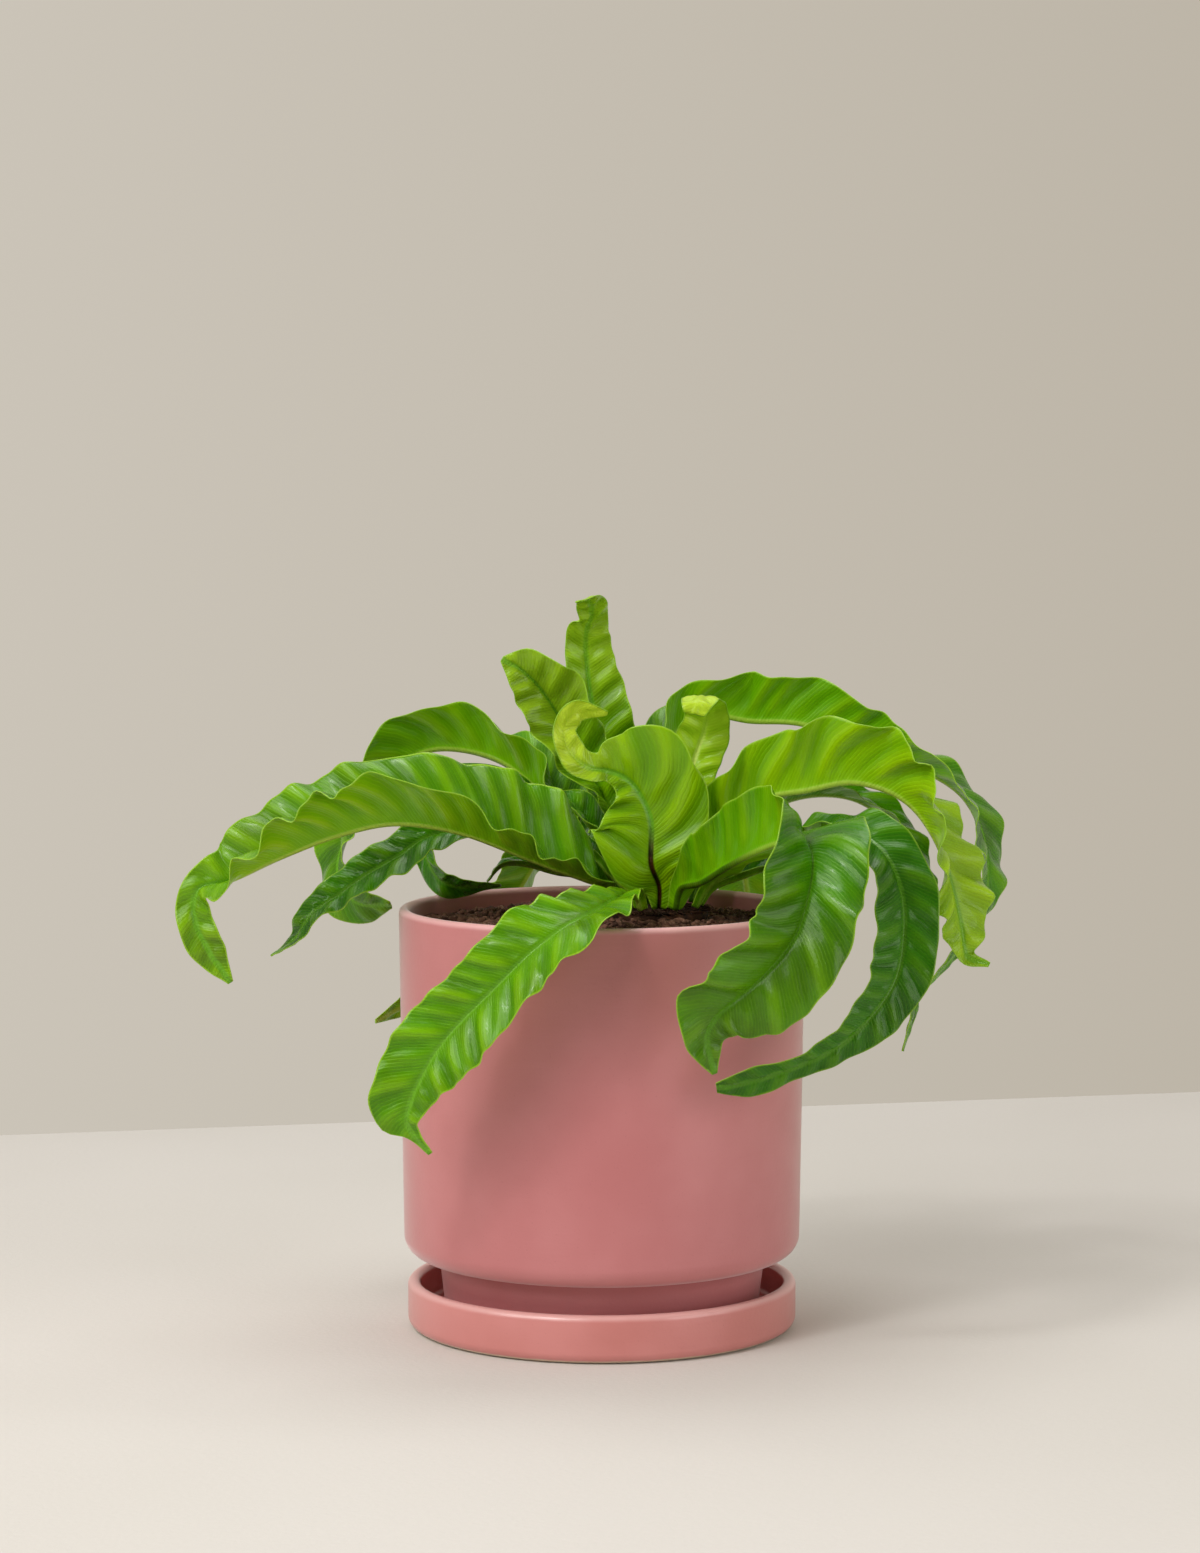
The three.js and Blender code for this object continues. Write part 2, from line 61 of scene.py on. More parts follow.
planter_low, planter_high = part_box("planter")
crown_low, crown_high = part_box("crown")
mix_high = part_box("potting_mix")[1]
RIM_Z = planter_high[2] / MM
PLANTER_Z = planter_low[2] / MM
CROWN_TOP = crown_high[2] / MM
SOIL_MIDDLE = mix_high[2] / MM
SOIL_EDGE = SOIL_MIDDLE - SOIL["mound"]

# Each frond: the way it heads in degrees, where its root stands off the crown's centre, and its
# rows of (x, y, up above the rim, left width, right width, roll, fold), as in the CAD.
FRONDS = {
    "front_drape": (
        250,
        (-6, -16.5),
        [
            (12, -17, 5, 4, 4, 0, 35),
            (6, -42, 7, 9, 9, 0, 22),
            (-4, -72, 5, 15, 15, 6, 18),
            (-14, -85, 1, 17, 17, 3, 16),
            (-26, -89, -8, 16, 16, -3, 20),
            (-38, -89, -20, 16, 15, -3, 20),
            (-49, -88, -31, 17, 15, 0, 18),
            (-58, -87, -42, 15, 16, 3, 16),
            (-65, -86, -55, 9, 15, 5, 14),
            (-68, -85, -65, 5, 13, 5, 10),
            (-66, -84, -71, 3, 3, 0, 5),
            (-60, -83, -78, 1, 1, 0, 0),
        ],
    ),
    "left_long": (
        187,
        (-15.5, -7),
        [
            (0, -4, 8, 4, 4, 25, 35),
            (-5, -15, 11, 10, 13, 25, 45),
            (-23, -20, 18, 16, 27, 29, 47),
            (-50, -25, 29, 23, 27, 24, 52),
            (-74, -29, 33, 28, 26, 15, 57),
            (-95, -31, 29, 26, 24, 13, 56),
            (-116, -33, 21, 21, 21, 16, 52),
            (-133, -34, 13, 15, 15, 32, 40),
            (-145, -35, 10, 7, 7, 60, 20),
            (-147, -35, 0, 6.5, 6.5, 80, 12),
            (-142, -35, -12, 6.5, 6.5, 80, 8),
            (-134, -35, -24, 1, 1, 80, 0),
        ],
    ),
    "left_low": (
        183,
        (-17.5, 1),
        [
            (-3, 6, 8, 4, 4, 15, 35),
            (-19, 10, 13, 7, 7, 15, 35),
            (-38, 8, 24, 8, 8, 25, 30),
            (-53, 4, 27, 10, 9, 35, 25),
            (-65, 1, 25, 11, 9, 45, 20),
            (-74, -1, 19, 11, 9, 45, 18),
            (-86, -2, 12, 10, 9, 45, 18),
            (-96, -3, 5, 8, 8, 45, 18),
            (-107, -4, -3, 7, 7, 35, 15),
            (-113, -4, -12, 5, 5, 20, 10),
            (-122, -4, -18, 1, 1, 0, 0),
        ],
    ),
    "left_arch": (
        165,
        (-8, 5.5),
        [
            (8, 13, 8, 4, 4, 0, 35),
            (-10, 30, 24, 9, 13, 0, 42),
            (-23, 38, 39, 13, 18, 0, 48),
            (-36, 44, 49, 17, 18, -6, 50),
            (-51, 48, 54, 20, 17, -14, 48),
            (-66, 50, 54, 20, 16, -14, 44),
            (-79, 50, 47, 18, 16, -4, 36),
            (-90, 49, 34, 16, 16, 14, 26),
            (-98, 47, 19, 15, 15, 34, 16),
            (-100, 45, 7, 14, 14, 45, 12),
            (-93, 43, -3, 12, 12, 50, 10),
            (-80, 40, -4, 2, 2, 45, 0),
        ],
    ),
    "left_inner": (
        172,
        (-9.5, -1),
        [
            (6, 4, 8, 4, 4, 0, 35),
            (-19, 20, 30, 8, 8, 0, 42),
            (-42, 28, 44, 10, 10, 0, 35),
            (-58, 31, 41, 10, 10, 15, 25),
            (-66, 32, 26, 9, 9, 30, 15),
            (-65, 32, 13, 8, 8, 40, 10),
            (-57, 30, 5, 7, 7, 45, 10),
            (-38, 26, 5, 1, 1, 30, 0),
        ],
    ),
    "left_claw": (
        178,
        (-14.5, 9.5),
        [
            (3, 16, 8, 5, 5, 0, 35),
            (-16, 20, 10, 5, 7, 0, 30),
            (-28, 21, 13, 6, 7, 0, 20),
            (-37, 20, 13, 6, 6, 0, 15),
            (-43, 20, 7, 1, 1, 0, 0),
        ],
    ),
    "inner_left": (
        170,
        (-5, -3.5),
        [
            (14, 0, 8, 4, 4, 10, 35),
            (-1, 2, 25, 8, 8, 10, 35),
            (-10, 0, 36, 9, 9, 20, 30),
            (-17, -2, 43, 1, 1, 0, 0),
        ],
    ),
    "upper_left": (
        160,
        (-4.5, 2.5),
        [
            (14, 8, 8, 4, 4, 40, 35),
            (1, 20, 37, 9, 9, 40, 45),
            (-8, 20, 54, 13, 13, 60, 42),
            (-16, 18, 69, 14, 17, 70, 38),
            (-23, 14, 80, 12, 17, 75, 32),
            (-30, 10, 87, 8, 11, 80, 25),
            (-37, 8, 91, 1, 1, 80, 0),
        ],
    ),
    "tallest": (
        100,
        (-1, 10),
        [
            (19, 17, 8, 4, 4, 0, 35),
            (5, 32, 36, 10, 11, 0, 30),
            (-1, 36, 57, 14, 15, 0, 25),
            (-4, 38, 74, 12, 14, 0, 22),
            (-6, 38, 89, 9, 11, 0, 18),
            (-6, 35, 100, 8, 9, -10, 10),
            (-4, 31, 107, 6, 7, -20, 5),
            (-5, 22, 112, 5, 5, -20, 0),
            (-9, 14, 112, 1, 1, -20, 0),
        ],
    ),
    "front_centre": (
        180,
        (1, -10),
        [
            (21, -6, 8, 7, 7, 88, 20),
            (18, -10, 17, 16, 15, 88, 12),
            (18, -9, 32, 24, 22, 88, 12),
            (14, -9, 42, 16, 24, 90, 14),
            (9, -10, 48, 7, 24, 90, 12),
            (2, -11, 51, 4, 14, 88, 10),
            (-4, -14, 52, 5, 6, 75, 10),
            (-11, -16, 57, 6, 6, 60, 10),
            (-14, -17, 66, 5, 5, 60, 10),
            (-9, -16, 73, 5, 5, 60, 5),
            (2, -13, 72, 1, 1, 60, 0),
        ],
    ),
    "young_curl": (
        90,
        (4, 1),
        [
            (25, 6, 8, 4, 4, 0, 35),
            (31, 16, 35, 7, 7, 0, 20),
            (34, 20, 51, 10, 10, 0, 15),
            (38, 21, 63, 10, 10, 0, 15),
            (39, 17, 72, 8, 8, 0, 10),
            (37, 9, 77, 7, 7, 0, 10),
            (35, 2, 75, 6, 6, 0, 5),
            (34, 0, 71, 4, 4, 0, 0),
        ],
    ),
    "right_front": (
        315,
        (7, -16),
        [
            (29, -15, 8, 10, 5, 30, 35),
            (36, -25, 11, 17, 15, 30, 40),
            (45, -38, 18, 19, 18, 36, 42),
            (55, -52, 25, 21, 21, 38, 42),
            (65, -66, 30, 22, 21, 36, 40),
            (71, -78, 30, 23, 20, 12, 40),
            (73, -87, 25, 21, 21, -22, 36),
            (71, -93, 13, 20, 21, -36, 30),
            (66, -96, -1, 20, 20, -40, 28),
            (55, -98, -14, 20, 20, -40, 26),
            (46, -98, -22, 16, 20, -40, 22),
            (39, -98, -28, 10, 17, -35, 16),
            (36, -97, -36, 7, 9, -25, 10),
            (39, -95, -48, 1, 1, -20, 0),
        ],
    ),
    "right_middle": (
        335,
        (15, -8),
        [
            (40, -5, 8, 4, 4, 0, 35),
            (53, -14, 18, 9, 9, 0, 36),
            (69, -25, 25, 12, 12, 0, 34),
            (82, -34, 29, 13, 13, -5, 32),
            (93, -42, 29, 13, 13, -15, 28),
            (101, -48, 23, 13, 13, -27, 24),
            (106, -53, 12, 13, 13, -36, 18),
            (107, -58, -2, 13, 13, -42, 15),
            (104, -64, -18, 12, 12, -45, 12),
            (95, -70, -31, 10, 10, -45, 12),
            (82, -75, -42, 6, 7, -48, 10),
            (65, -79, -49, 5, 5, -52, 10),
            (51, -81, -53, 6, 6, -56, 8),
            (40, -82, -55, 2, 2, -60, 0),
        ],
    ),
    "right_arch": (
        350,
        (8.5, -4),
        [
            (32, -1, 8, 4, 4, 25, 35),
            (44, -2, 30, 13, 13, 25, 42),
            (60, -4, 40, 20, 20, 33, 42),
            (75, -5, 43, 25, 25, 35, 42),
            (91, -6, 46, 25, 25, 32, 42),
            (105, -9, 43, 24, 24, 25, 38),
            (115, -13, 36, 21, 20, 9, 32),
            (123, -17, 23, 18, 16, -10, 24),
            (128, -19, 7, 16, 14, -32, 16),
            (131, -20, -6, 11, 10, -46, 10),
            (133, -21, -16, 4, 4, -50, 5),
            (141, -23, -19, 1, 1, -50, 0),
        ],
    ),
    "right_high": (
        20,
        (7.5, 6.5),
        [
            (30, 14, 8, 4, 4, 0, 35),
            (22, 42, 39, 9, 9, 0, 40),
            (25, 50, 57, 12, 12, 10, 40),
            (39, 54, 67, 16, 16, 25, 42),
            (57, 54, 65, 19, 19, 30, 42),
            (76, 52, 64, 19, 19, 30, 40),
            (97, 48, 57, 18, 17, 22, 35),
            (118, 44, 49, 17, 14, 2, 27),
            (136, 40, 38, 16, 14, -24, 18),
            (144, 36, 22, 15, 14, -42, 12),
            (145, 32, 3, 11, 10, -45, 10),
            (140, 29, -12, 6, 6, -45, 8),
            (131, 25, -23, 4, 4, -45, 5),
            (122, 22, -33, 1, 1, -40, 0),
        ],
    ),
    "right_behind": (
        12,
        (14, 9.5),
        [
            (38, 17, 8, 4, 4, 0, 35),
            (50, 26, 25, 9, 9, 0, 35),
            (71, 30, 37, 12, 12, 0, 30),
            (92, 30, 38, 12, 12, -10, 25),
            (108, 27, 29, 13, 13, -20, 20),
            (117, 22, 15, 12, 12, -30, 15),
            (121, 16, -4, 9, 9, -30, 12),
            (120, 11, -22, 7, 7, -30, 10),
            (116, 8, -39, 5, 5, -30, 8),
            (112, 6, -55, 1, 1, -30, 0),
        ],
    ),
    "right_low": (
        5,
        (17, 0.5),
        [
            (42, 6, 6, 4, 4, -10, 35),
            (52, 8, 10, 8, 8, -10, 28),
            (62, 10, 13, 11, 11, -15, 24),
            (72, 11, 14, 11, 11, -15, 20),
            (83, 11, 12, 8, 8, -10, 15),
            (92, 11, 6, 1, 1, 0, 0),
        ],
    ),
    "back_left": (
        140,
        (-8.5, 15),
        [
            (2, 39, 15, 6, 6, 0, 40),
            (-5, 58, 29, 10, 10, 0, 38),
            (-12, 78, 29, 12, 12, 0, 30),
            (-22, 93, 14, 14, 14, 0, 22),
            (-35, 99, -8, 14, 14, 0, 15),
            (-52, 96, -28, 12, 12, 0, 12),
            (-72, 86, -45, 7, 7, 0, 10),
            (-88, 72, -53, 1, 1, 0, 0),
        ],
    ),
    "back_middle": (
        95,
        (-0.5, 17.5),
        [
            (19, 42, 18, 6, 6, 0, 40),
            (16, 62, 40, 13, 13, 0, 40),
            (14, 84, 46, 16, 16, 0, 30),
            (13, 101, 34, 16, 16, 0, 20),
            (14, 108, 12, 14, 14, 0, 15),
            (16, 108, -12, 10, 10, 0, 10),
            (18, 104, -30, 1, 1, 0, 0),
        ],
    ),
    "back_right": (
        72,
        (8, 15.5),
        [
            (34, 38, 14, 6, 6, 0, 40),
            (42, 58, 26, 13, 13, 0, 35),
            (48, 78, 26, 16, 16, 0, 28),
            (54, 94, 12, 16, 16, 0, 20),
            (58, 102, -10, 14, 14, 0, 15),
            (58, 102, -32, 10, 10, 0, 10),
            (54, 98, -50, 1, 1, 0, 0),
        ],
    ),
}

# How each blade is finished: (wave height mm, wave length mm, paleness, dark rib,
# yellowness, painted shade darkening the whole frond)
FINISH = {
    "front_drape": (2.0, 19, 0.0, 0.0, 0.4, 0.05),
    "left_long": (3.7, 23, 0.1, 0.0, 0.4, 0.1),
    "left_low": (1.8, 17, 0.0, 0.0, 0.1, 0.45),
    "left_arch": (3.4, 22, 0.0, 0.0, 0.3, 0.25),
    "left_inner": (1.5, 20, 0.0, 0.0, 0.0, 0.6),
    "left_claw": (1.0, 15, 0.0, 0.0, 0.0, 0.7),
    "inner_left": (1.5, 16, 0.0, 0.0, 0.2, 0.4),
    "upper_left": (2.6, 20, 0.3, 0.0, 0.6, 0.1),
    "tallest": (2.4, 18, 0.4, 0.0, 0.6, 0.0),
    "front_centre": (1.6, 20, 1.0, 1.0, 1.0, 0.0),
    "young_curl": (0.7, 16, 1.0, 0.0, 1.0, 0.0),
    "right_front": (3.0, 20, 0.1, 1.0, 0.15, 0.6),
    "right_middle": (2.0, 24, 0.0, 0.0, 0.1, 0.9),
    "right_arch": (3.0, 19, 0.25, 0.0, 1.0, 0.0),
    "right_high": (3.0, 24, 0.0, 0.0, 0.2, 0.3),
    "right_behind": (1.8, 22, 0.0, 0.0, 0.2, 0.5),
    "right_low": (2.2, 16, 0.0, 0.0, 0.0, 0.8),
    "back_left": (2.4, 22, 0.0, 0.0, 0.2, 0.4),
    "back_middle": (2.4, 22, 0.0, 0.0, 0.2, 0.3),
    "back_right": (2.4, 22, 0.0, 0.0, 0.2, 0.4),
}

# ---------------------------------------------------------------- mesh helpers


def new_object(name, verts, faces, materials, smooth=True):
    mesh = bpy.data.meshes.new(name)
    mesh.from_pydata([tuple(v) for v in verts], [], faces)
    mesh.validate()
    for material in materials:
        mesh.materials.append(material)
    mesh.polygons.foreach_set("use_smooth", [smooth] * len(mesh.polygons))
    mesh.update()
    obj = bpy.data.objects.new(name, mesh)
    bpy.context.scene.collection.objects.link(obj)
    return obj


def attach(obj, node):
    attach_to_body(obj, "root")
    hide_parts(node)


def arc(radius, z, size, start, end, steps):
    angles = np.radians(np.linspace(start, end, steps + 1))
    return [(radius + size * math.cos(a), z + size * math.sin(a)) for a in angles]


def refined(profile, longest):
    """The profile with its long straight runs cut, so that they shade and displace evenly."""
    points = [profile[0]]
    for (r0, z0), (r1, z1) in zip(profile, profile[1:]):
        cuts = max(1, math.ceil(math.hypot(r1 - r0, z1 - z0) / longest))
        points += [(r0 + (r1 - r0) * k / cuts, z0 + (z1 - z0) * k / cuts) for k in range(1, cuts + 1)]
    return points


def turned(profile, sides, wobble=0.0):
    """Vertices in metres and faces of a closed [radius, z] profile in mm turned about Z. wobble is
    about how far it strays from round, in thousandths of its radius."""
    on_axis = profile[0][0] == 0
    ring = profile[1:-1] if on_axis else profile[:-1]
    angle = np.linspace(0, 2 * math.pi, sides, endpoint=False)
    verts = []
    for r, z in ring:
        sway = 1 + wobble * (np.sin(2 * angle + z / 37) + 0.6 * np.sin(3 * angle - z / 23)) / 1000
        verts += list(zip(r * sway * np.cos(angle), r * sway * np.sin(angle), [z] * sides))
    faces = []
    count = len(ring)
    last = count - 1 if on_axis else count
    for i in range(last):
        a, b = i * sides, (i + 1) % count * sides
        for k in range(sides):
            n = (k + 1) % sides
            faces.append((a + k, a + n, b + n, b + k))
    if on_axis:
        for row, z, flip in ((0, profile[0][1], True), (count - 1, profile[-1][1], False)):
            verts.append((0, 0, z))
            tip = len(verts) - 1
            for k in range(sides):
                n = (k + 1) % sides
                edge = (row * sides + n, row * sides + k) if flip else (row * sides + k, row * sides + n)
                faces.append((*edge, tip))
    return np.array(verts) * MM, faces


# ---------------------------------------------------------------- material helpers


def rgb(text):
    """Linear colour from an sRGB hex string."""
    parts = [int(text[k : k + 2], 16) / 255 for k in (0, 2, 4)]
    return (*[p / 12.92 if p <= 0.04045 else ((p + 0.055) / 1.055) ** 2.4 for p in parts], 1.0)


class Graph:
    """A material's node tree, with short calls for the nodes used here."""

    def __init__(self, name):
        self.material = bpy.data.materials.new(name)
        self.material.use_nodes = True
        self.tree = self.material.node_tree
        self.tree.nodes.clear()
        self.output = self.tree.nodes.new("ShaderNodeOutputMaterial")

    def feed(self, socket, value):
        if isinstance(value, bpy.types.NodeSocket):
            self.tree.links.new(value, socket)
        elif value is not None:
            socket.default_value = value

    def node(self, kind, inputs=None, **settings):
        node = self.tree.nodes.new(kind)
        for key, value in settings.items():
            setattr(node, key, value)
        for key, value in (inputs or {}).items():
            self.feed(node.inputs[key], value)
        return node

    def math(self, operation, a, b=0.0, c=0.0):
        return self.node("ShaderNodeMath", {0: a, 1: b, 2: c}, operation=operation).outputs[0]

    def mix(self, factor, a, b):
        node = self.node("ShaderNodeMix", {0: factor, 6: a, 7: b}, data_type="RGBA")
        return node.outputs[2]

    def noise(self, vector, scale, detail=3.0, roughness=0.5):
        inputs = {"Vector": vector, "Scale": scale, "Detail": detail, "Roughness": roughness}
        return self.node("ShaderNodeTexNoise", inputs).outputs["Fac"]

    def span(self, value, low, high, to_low=0.0, to_high=1.0):
        """value carried smoothly from low..high to to_low..to_high."""
        inputs = {"Value": value, "From Min": low, "From Max": high, "To Min": to_low, "To Max": to_high}
        node = self.node("ShaderNodeMapRange", inputs, interpolation_type="SMOOTHSTEP")
        return node.outputs["Result"]

    def numbers(self, name):
        """The three parts of a vector attribute."""
        found = self.node("ShaderNodeAttribute", attribute_name=name).outputs["Vector"]
        return self.node("ShaderNodeSeparateXYZ", {0: found}).outputs

    def place(self):
        return self.node("ShaderNodeTexCoord").outputs["Object"]

    def bump(self, height, distance, strength=1.0, normal=None):
        inputs = {"Height": height, "Distance": distance, "Strength": strength}
        node = self.node("ShaderNodeBump", inputs)
        self.feed(node.inputs["Normal"], normal)
        return node.outputs["Normal"]

    def principled(self, color, roughness, normal, **fixed):
        inputs = {"Base Color": color, "Roughness": roughness, "Normal": normal}
        inputs.update({key.replace("_", " "): value for key, value in fixed.items()})
        return self.node("ShaderNodeBsdfPrincipled", inputs).outputs[0]

    def finish(self, shader):
        self.feed(self.output.inputs["Surface"], shader)
        return self.material


# ---------------------------------------------------------------- leaf materials

PLEAT_LEAN = 0.62  # how far towards the tip pleats and veins run for each mm off the midrib
VEIN_LENGTH = 1.25
BROAD_VEIN_LENGTH = 4.1


def leaf_material(name, deep, mid, light, rib_color, roughness, translucence, vein_depth):
    """A blade face. The blade attribute holds distances from the midrib, along it and from the
    margin in mm; frond holds share of length, painted shade and paleness; mark holds the
    crest-to-hollow value that paints highlight and shade on the pleats, dark rib and yellowness."""
    g = Graph(name)
    across, along, edge = g.numbers("blade")
    share, shade, pale = g.numbers("frond")
    pleat_shading, dark, yellow = g.numbers("mark")
    place = g.place()
    off_rib = g.math("ABSOLUTE", across)
    patches = g.noise(place, 38, 3)
    fine = g.noise(place, 900, 2)
    vein_at = g.math("MULTIPLY_ADD", off_rib, -PLEAT_LEAN, along)
    vein_at = g.math("MULTIPLY_ADD", g.noise(place, 120, 2), 1.6, vein_at)
    wave = g.math("SINE", g.math("MULTIPLY", vein_at, 2 * math.pi / VEIN_LENGTH))
    broad = g.math("SINE", g.math("MULTIPLY", vein_at, 2 * math.pi / BROAD_VEIN_LENGTH))
    veins = g.math("POWER", g.math("MULTIPLY_ADD", wave, 0.5, 0.5), 3.0)
    body = g.mix(g.span(patches, 0.3, 0.7), deep, mid)
    # Painted highlight and painted shade: pleat crests are mixed towards the light green and hollows
    # towards the deep green.
    body = g.mix(g.math("MULTIPLY", g.span(pleat_shading, -0.1, 1.2), 0.32), body, light)
    body = g.mix(g.math("MULTIPLY", g.span(pleat_shading, 0.0, -1.2), 0.42), body, deep)
    # The frond's own yellowness, painted paler on the crests and duller in the hollows: painted highlight
    # and shade.
    gold_with_crest_highlight = g.mix(g.span(pleat_shading, -0.9, 1.1), rgb("84ba00"), rgb("b2e000"))
    body = g.mix(g.math("MULTIPLY", yellow, 0.6), body, gold_with_crest_highlight)
    body = g.mix(g.math("MULTIPLY", veins, 0.16), body, light)
    body = g.mix(g.math("MULTIPLY", g.span(broad, 0.2, 1.0), 0.10), body, deep)
    body = g.mix(g.math("MULTIPLY", g.span(fine, 0.62, 0.75), 0.12), body, light)
    ageing = g.math("MULTIPLY", pale, g.span(share, 0.5, 0.8))
    body = g.mix(ageing, body, rgb("c8e434"))
    rib = g.math("MULTIPLY", g.span(off_rib, 1.5, 0.7), g.math("SUBTRACT", 1.0, ageing))
    brown = g.mix(g.span(g.noise(place, 260, 3), 0.35, 0.65), rgb("1d0d08"), rgb("43190f"))
    base_brown = g.math("MULTIPLY", dark, g.span(share, 0.34, 0.2))
    body = g.mix(rib, body, g.mix(base_brown, rib_color, brown))
    body = g.mix(g.span(edge, 0.6, 0.15), body, rgb("9cc82c"))
    # Painted shade: the whole frond is darkened towards the deep green by its shade value.
    body = g.mix(g.math("MULTIPLY", shade, 0.6), body, deep)
    rough = g.math("ADD", g.math("MULTIPLY", g.noise(place, 300, 3), 0.18), roughness - 0.09)
    height = g.math("ADD", g.math("MULTIPLY", veins, 0.6), g.math("MULTIPLY", broad, 0.45))
    normal = g.bump(height, vein_depth)
    normal = g.bump(g.noise(place, 1400, 3), 0.00006, 1.0, normal)
    surface = g.principled(
        body, rough, normal, IOR=1.42, Specular_IOR_Level=0.35, Coat_Weight=0.35, Coat_Roughness=0.2,
        Specular_Tint=(0.7, 1.0, 0.35, 1.0),
    )
    through = g.mix(0.5, body, rgb("aee000"))
    glow = g.node("ShaderNodeBsdfTranslucent", {"Color": through, "Normal": normal}).outputs[0]
    return g.finish(g.node("ShaderNodeMixShader", {0: translucence, 1: surface, 2: glow}).outputs[0])


def margin_material(name, color):
    g = Graph(name)
    place = g.place()
    body = g.mix(g.noise(place, 300, 3), color, rgb("7fae1f"))
    normal = g.bump(g.noise(place, 900, 2), 0.0001)
    return g.finish(g.principled(body, 0.4, normal))


UPPER = leaf_material(
    "leaf_upper", rgb("185800"), rgb("3e9200"), rgb("90d00c"), rgb("6fae24"), 0.27, 0.16, 0.00014
)
UNDER = leaf_material(
    "leaf_under", rgb("5ea800"), rgb("84c600"), rgb("b4e012"), rgb("aed044"), 0.38, 0.18, 0.00012
)
YOUNG_UPPER = leaf_material(
    "young_leaf_upper", rgb("a6d400"), rgb("c4e40c"), rgb("e4f25c"), rgb("dcec70"), 0.34, 0.32, 0.0001
)
YOUNG_UNDER = leaf_material(
    "young_leaf_under", rgb("b0d808"), rgb("cce81c"), rgb("e6f468"), rgb("e0ee80"), 0.4, 0.32, 0.0001
)
MARGIN = margin_material("leaf_margin", rgb("9ccb22"))

# ---------------------------------------------------------------- frond blades

STATION_STEP = 1.1
RIB_OFFSETS = np.array([0.0, 0.5, 1.0, 1.6, 2.4])
OUTER_SHARES = np.array([0.1, 0.2, 0.3, 0.4, 0.5, 0.6, 0.7, 0.8, 0.88, 0.95, 1.0])
PATH_STEPS = 60  # steps a row when a midrib's length is measured
TANGENT_STEP = 0.02  # in rows, to each side
LEAST_WIDTH = 0.5
FOLD_AT_RIB, FOLD_LOSS = 1.35, 0.7  # shares of a row's fold: by the rib, and lost by the margin
WAVE_KNOTS, HEIGHT_KNOTS, PLEAT_KNOTS = 26, 31, 19  # mm between a wander's random knots
WAVE_SPREAD, HEIGHT_SPREAD, PLEAT_SPREAD = 0.28, 0.35, 0.2
SMALL_WIDTH = 6  # a half narrower than this has its rib and pleats drawn in
FULL_WAVE_WIDTH = 13
PLEAT_LENGTH = 9.5
PLEAT_HEIGHT = 0.75
HALF_THICKNESS = 0.34
MARGIN_HALF_THICKNESS = 0.16
MARGIN_BULGE = 0.12
RIB_HEIGHT = 1.0
GROOVE_DEPTH = 0.35


def placed(point):
    """As in the CAD: a point inside the drawn rim keeps its share of the rim radius."""
    reach = math.hypot(*point)
    rim = planter_high[0] / MM
    grown = reach * rim / DRAWN_RIM if reach < DRAWN_RIM else reach + rim - DRAWN_RIM
    return [c * grown / reach if reach else c for c in point]


def rows_at(rows, t):
    """Catmull-Rom through whole rows; t counts rows."""
    full = np.vstack([2 * rows[0] - rows[1], rows, 2 * rows[-1] - rows[-2]])
    i = np.clip(np.floor(t).astype(int), 0, len(rows) - 2)
    u = (t - i)[:, None]
    before, here, after, last = (full[i + k] for k in range(4))
    bend = 2 * before - 5 * here + 4 * after - last
    twist = 3 * here - before - 3 * after + last
    return 0.5 * (2 * here + (after - before) * u + bend * u**2 + twist * u**3)


def unit(v):
    return v / np.linalg.norm(v, axis=-1, keepdims=True)


def smooth(x, low, high):
    u = np.clip((x - low) / (high - low), 0, 1)
    return u * u * (3 - 2 * u)


def wander(rng, x, spacing):
    """A smooth random line through -1..1, one knot every spacing."""
    knots = rng.uniform(-1, 1, int(x.max() / spacing) + 3)
    at = x / spacing
    i = at.astype(int)
    u = at - i
    u = u * u * (3 - 2 * u)
    return knots[i] * (1 - u) + knots[i + 1] * u


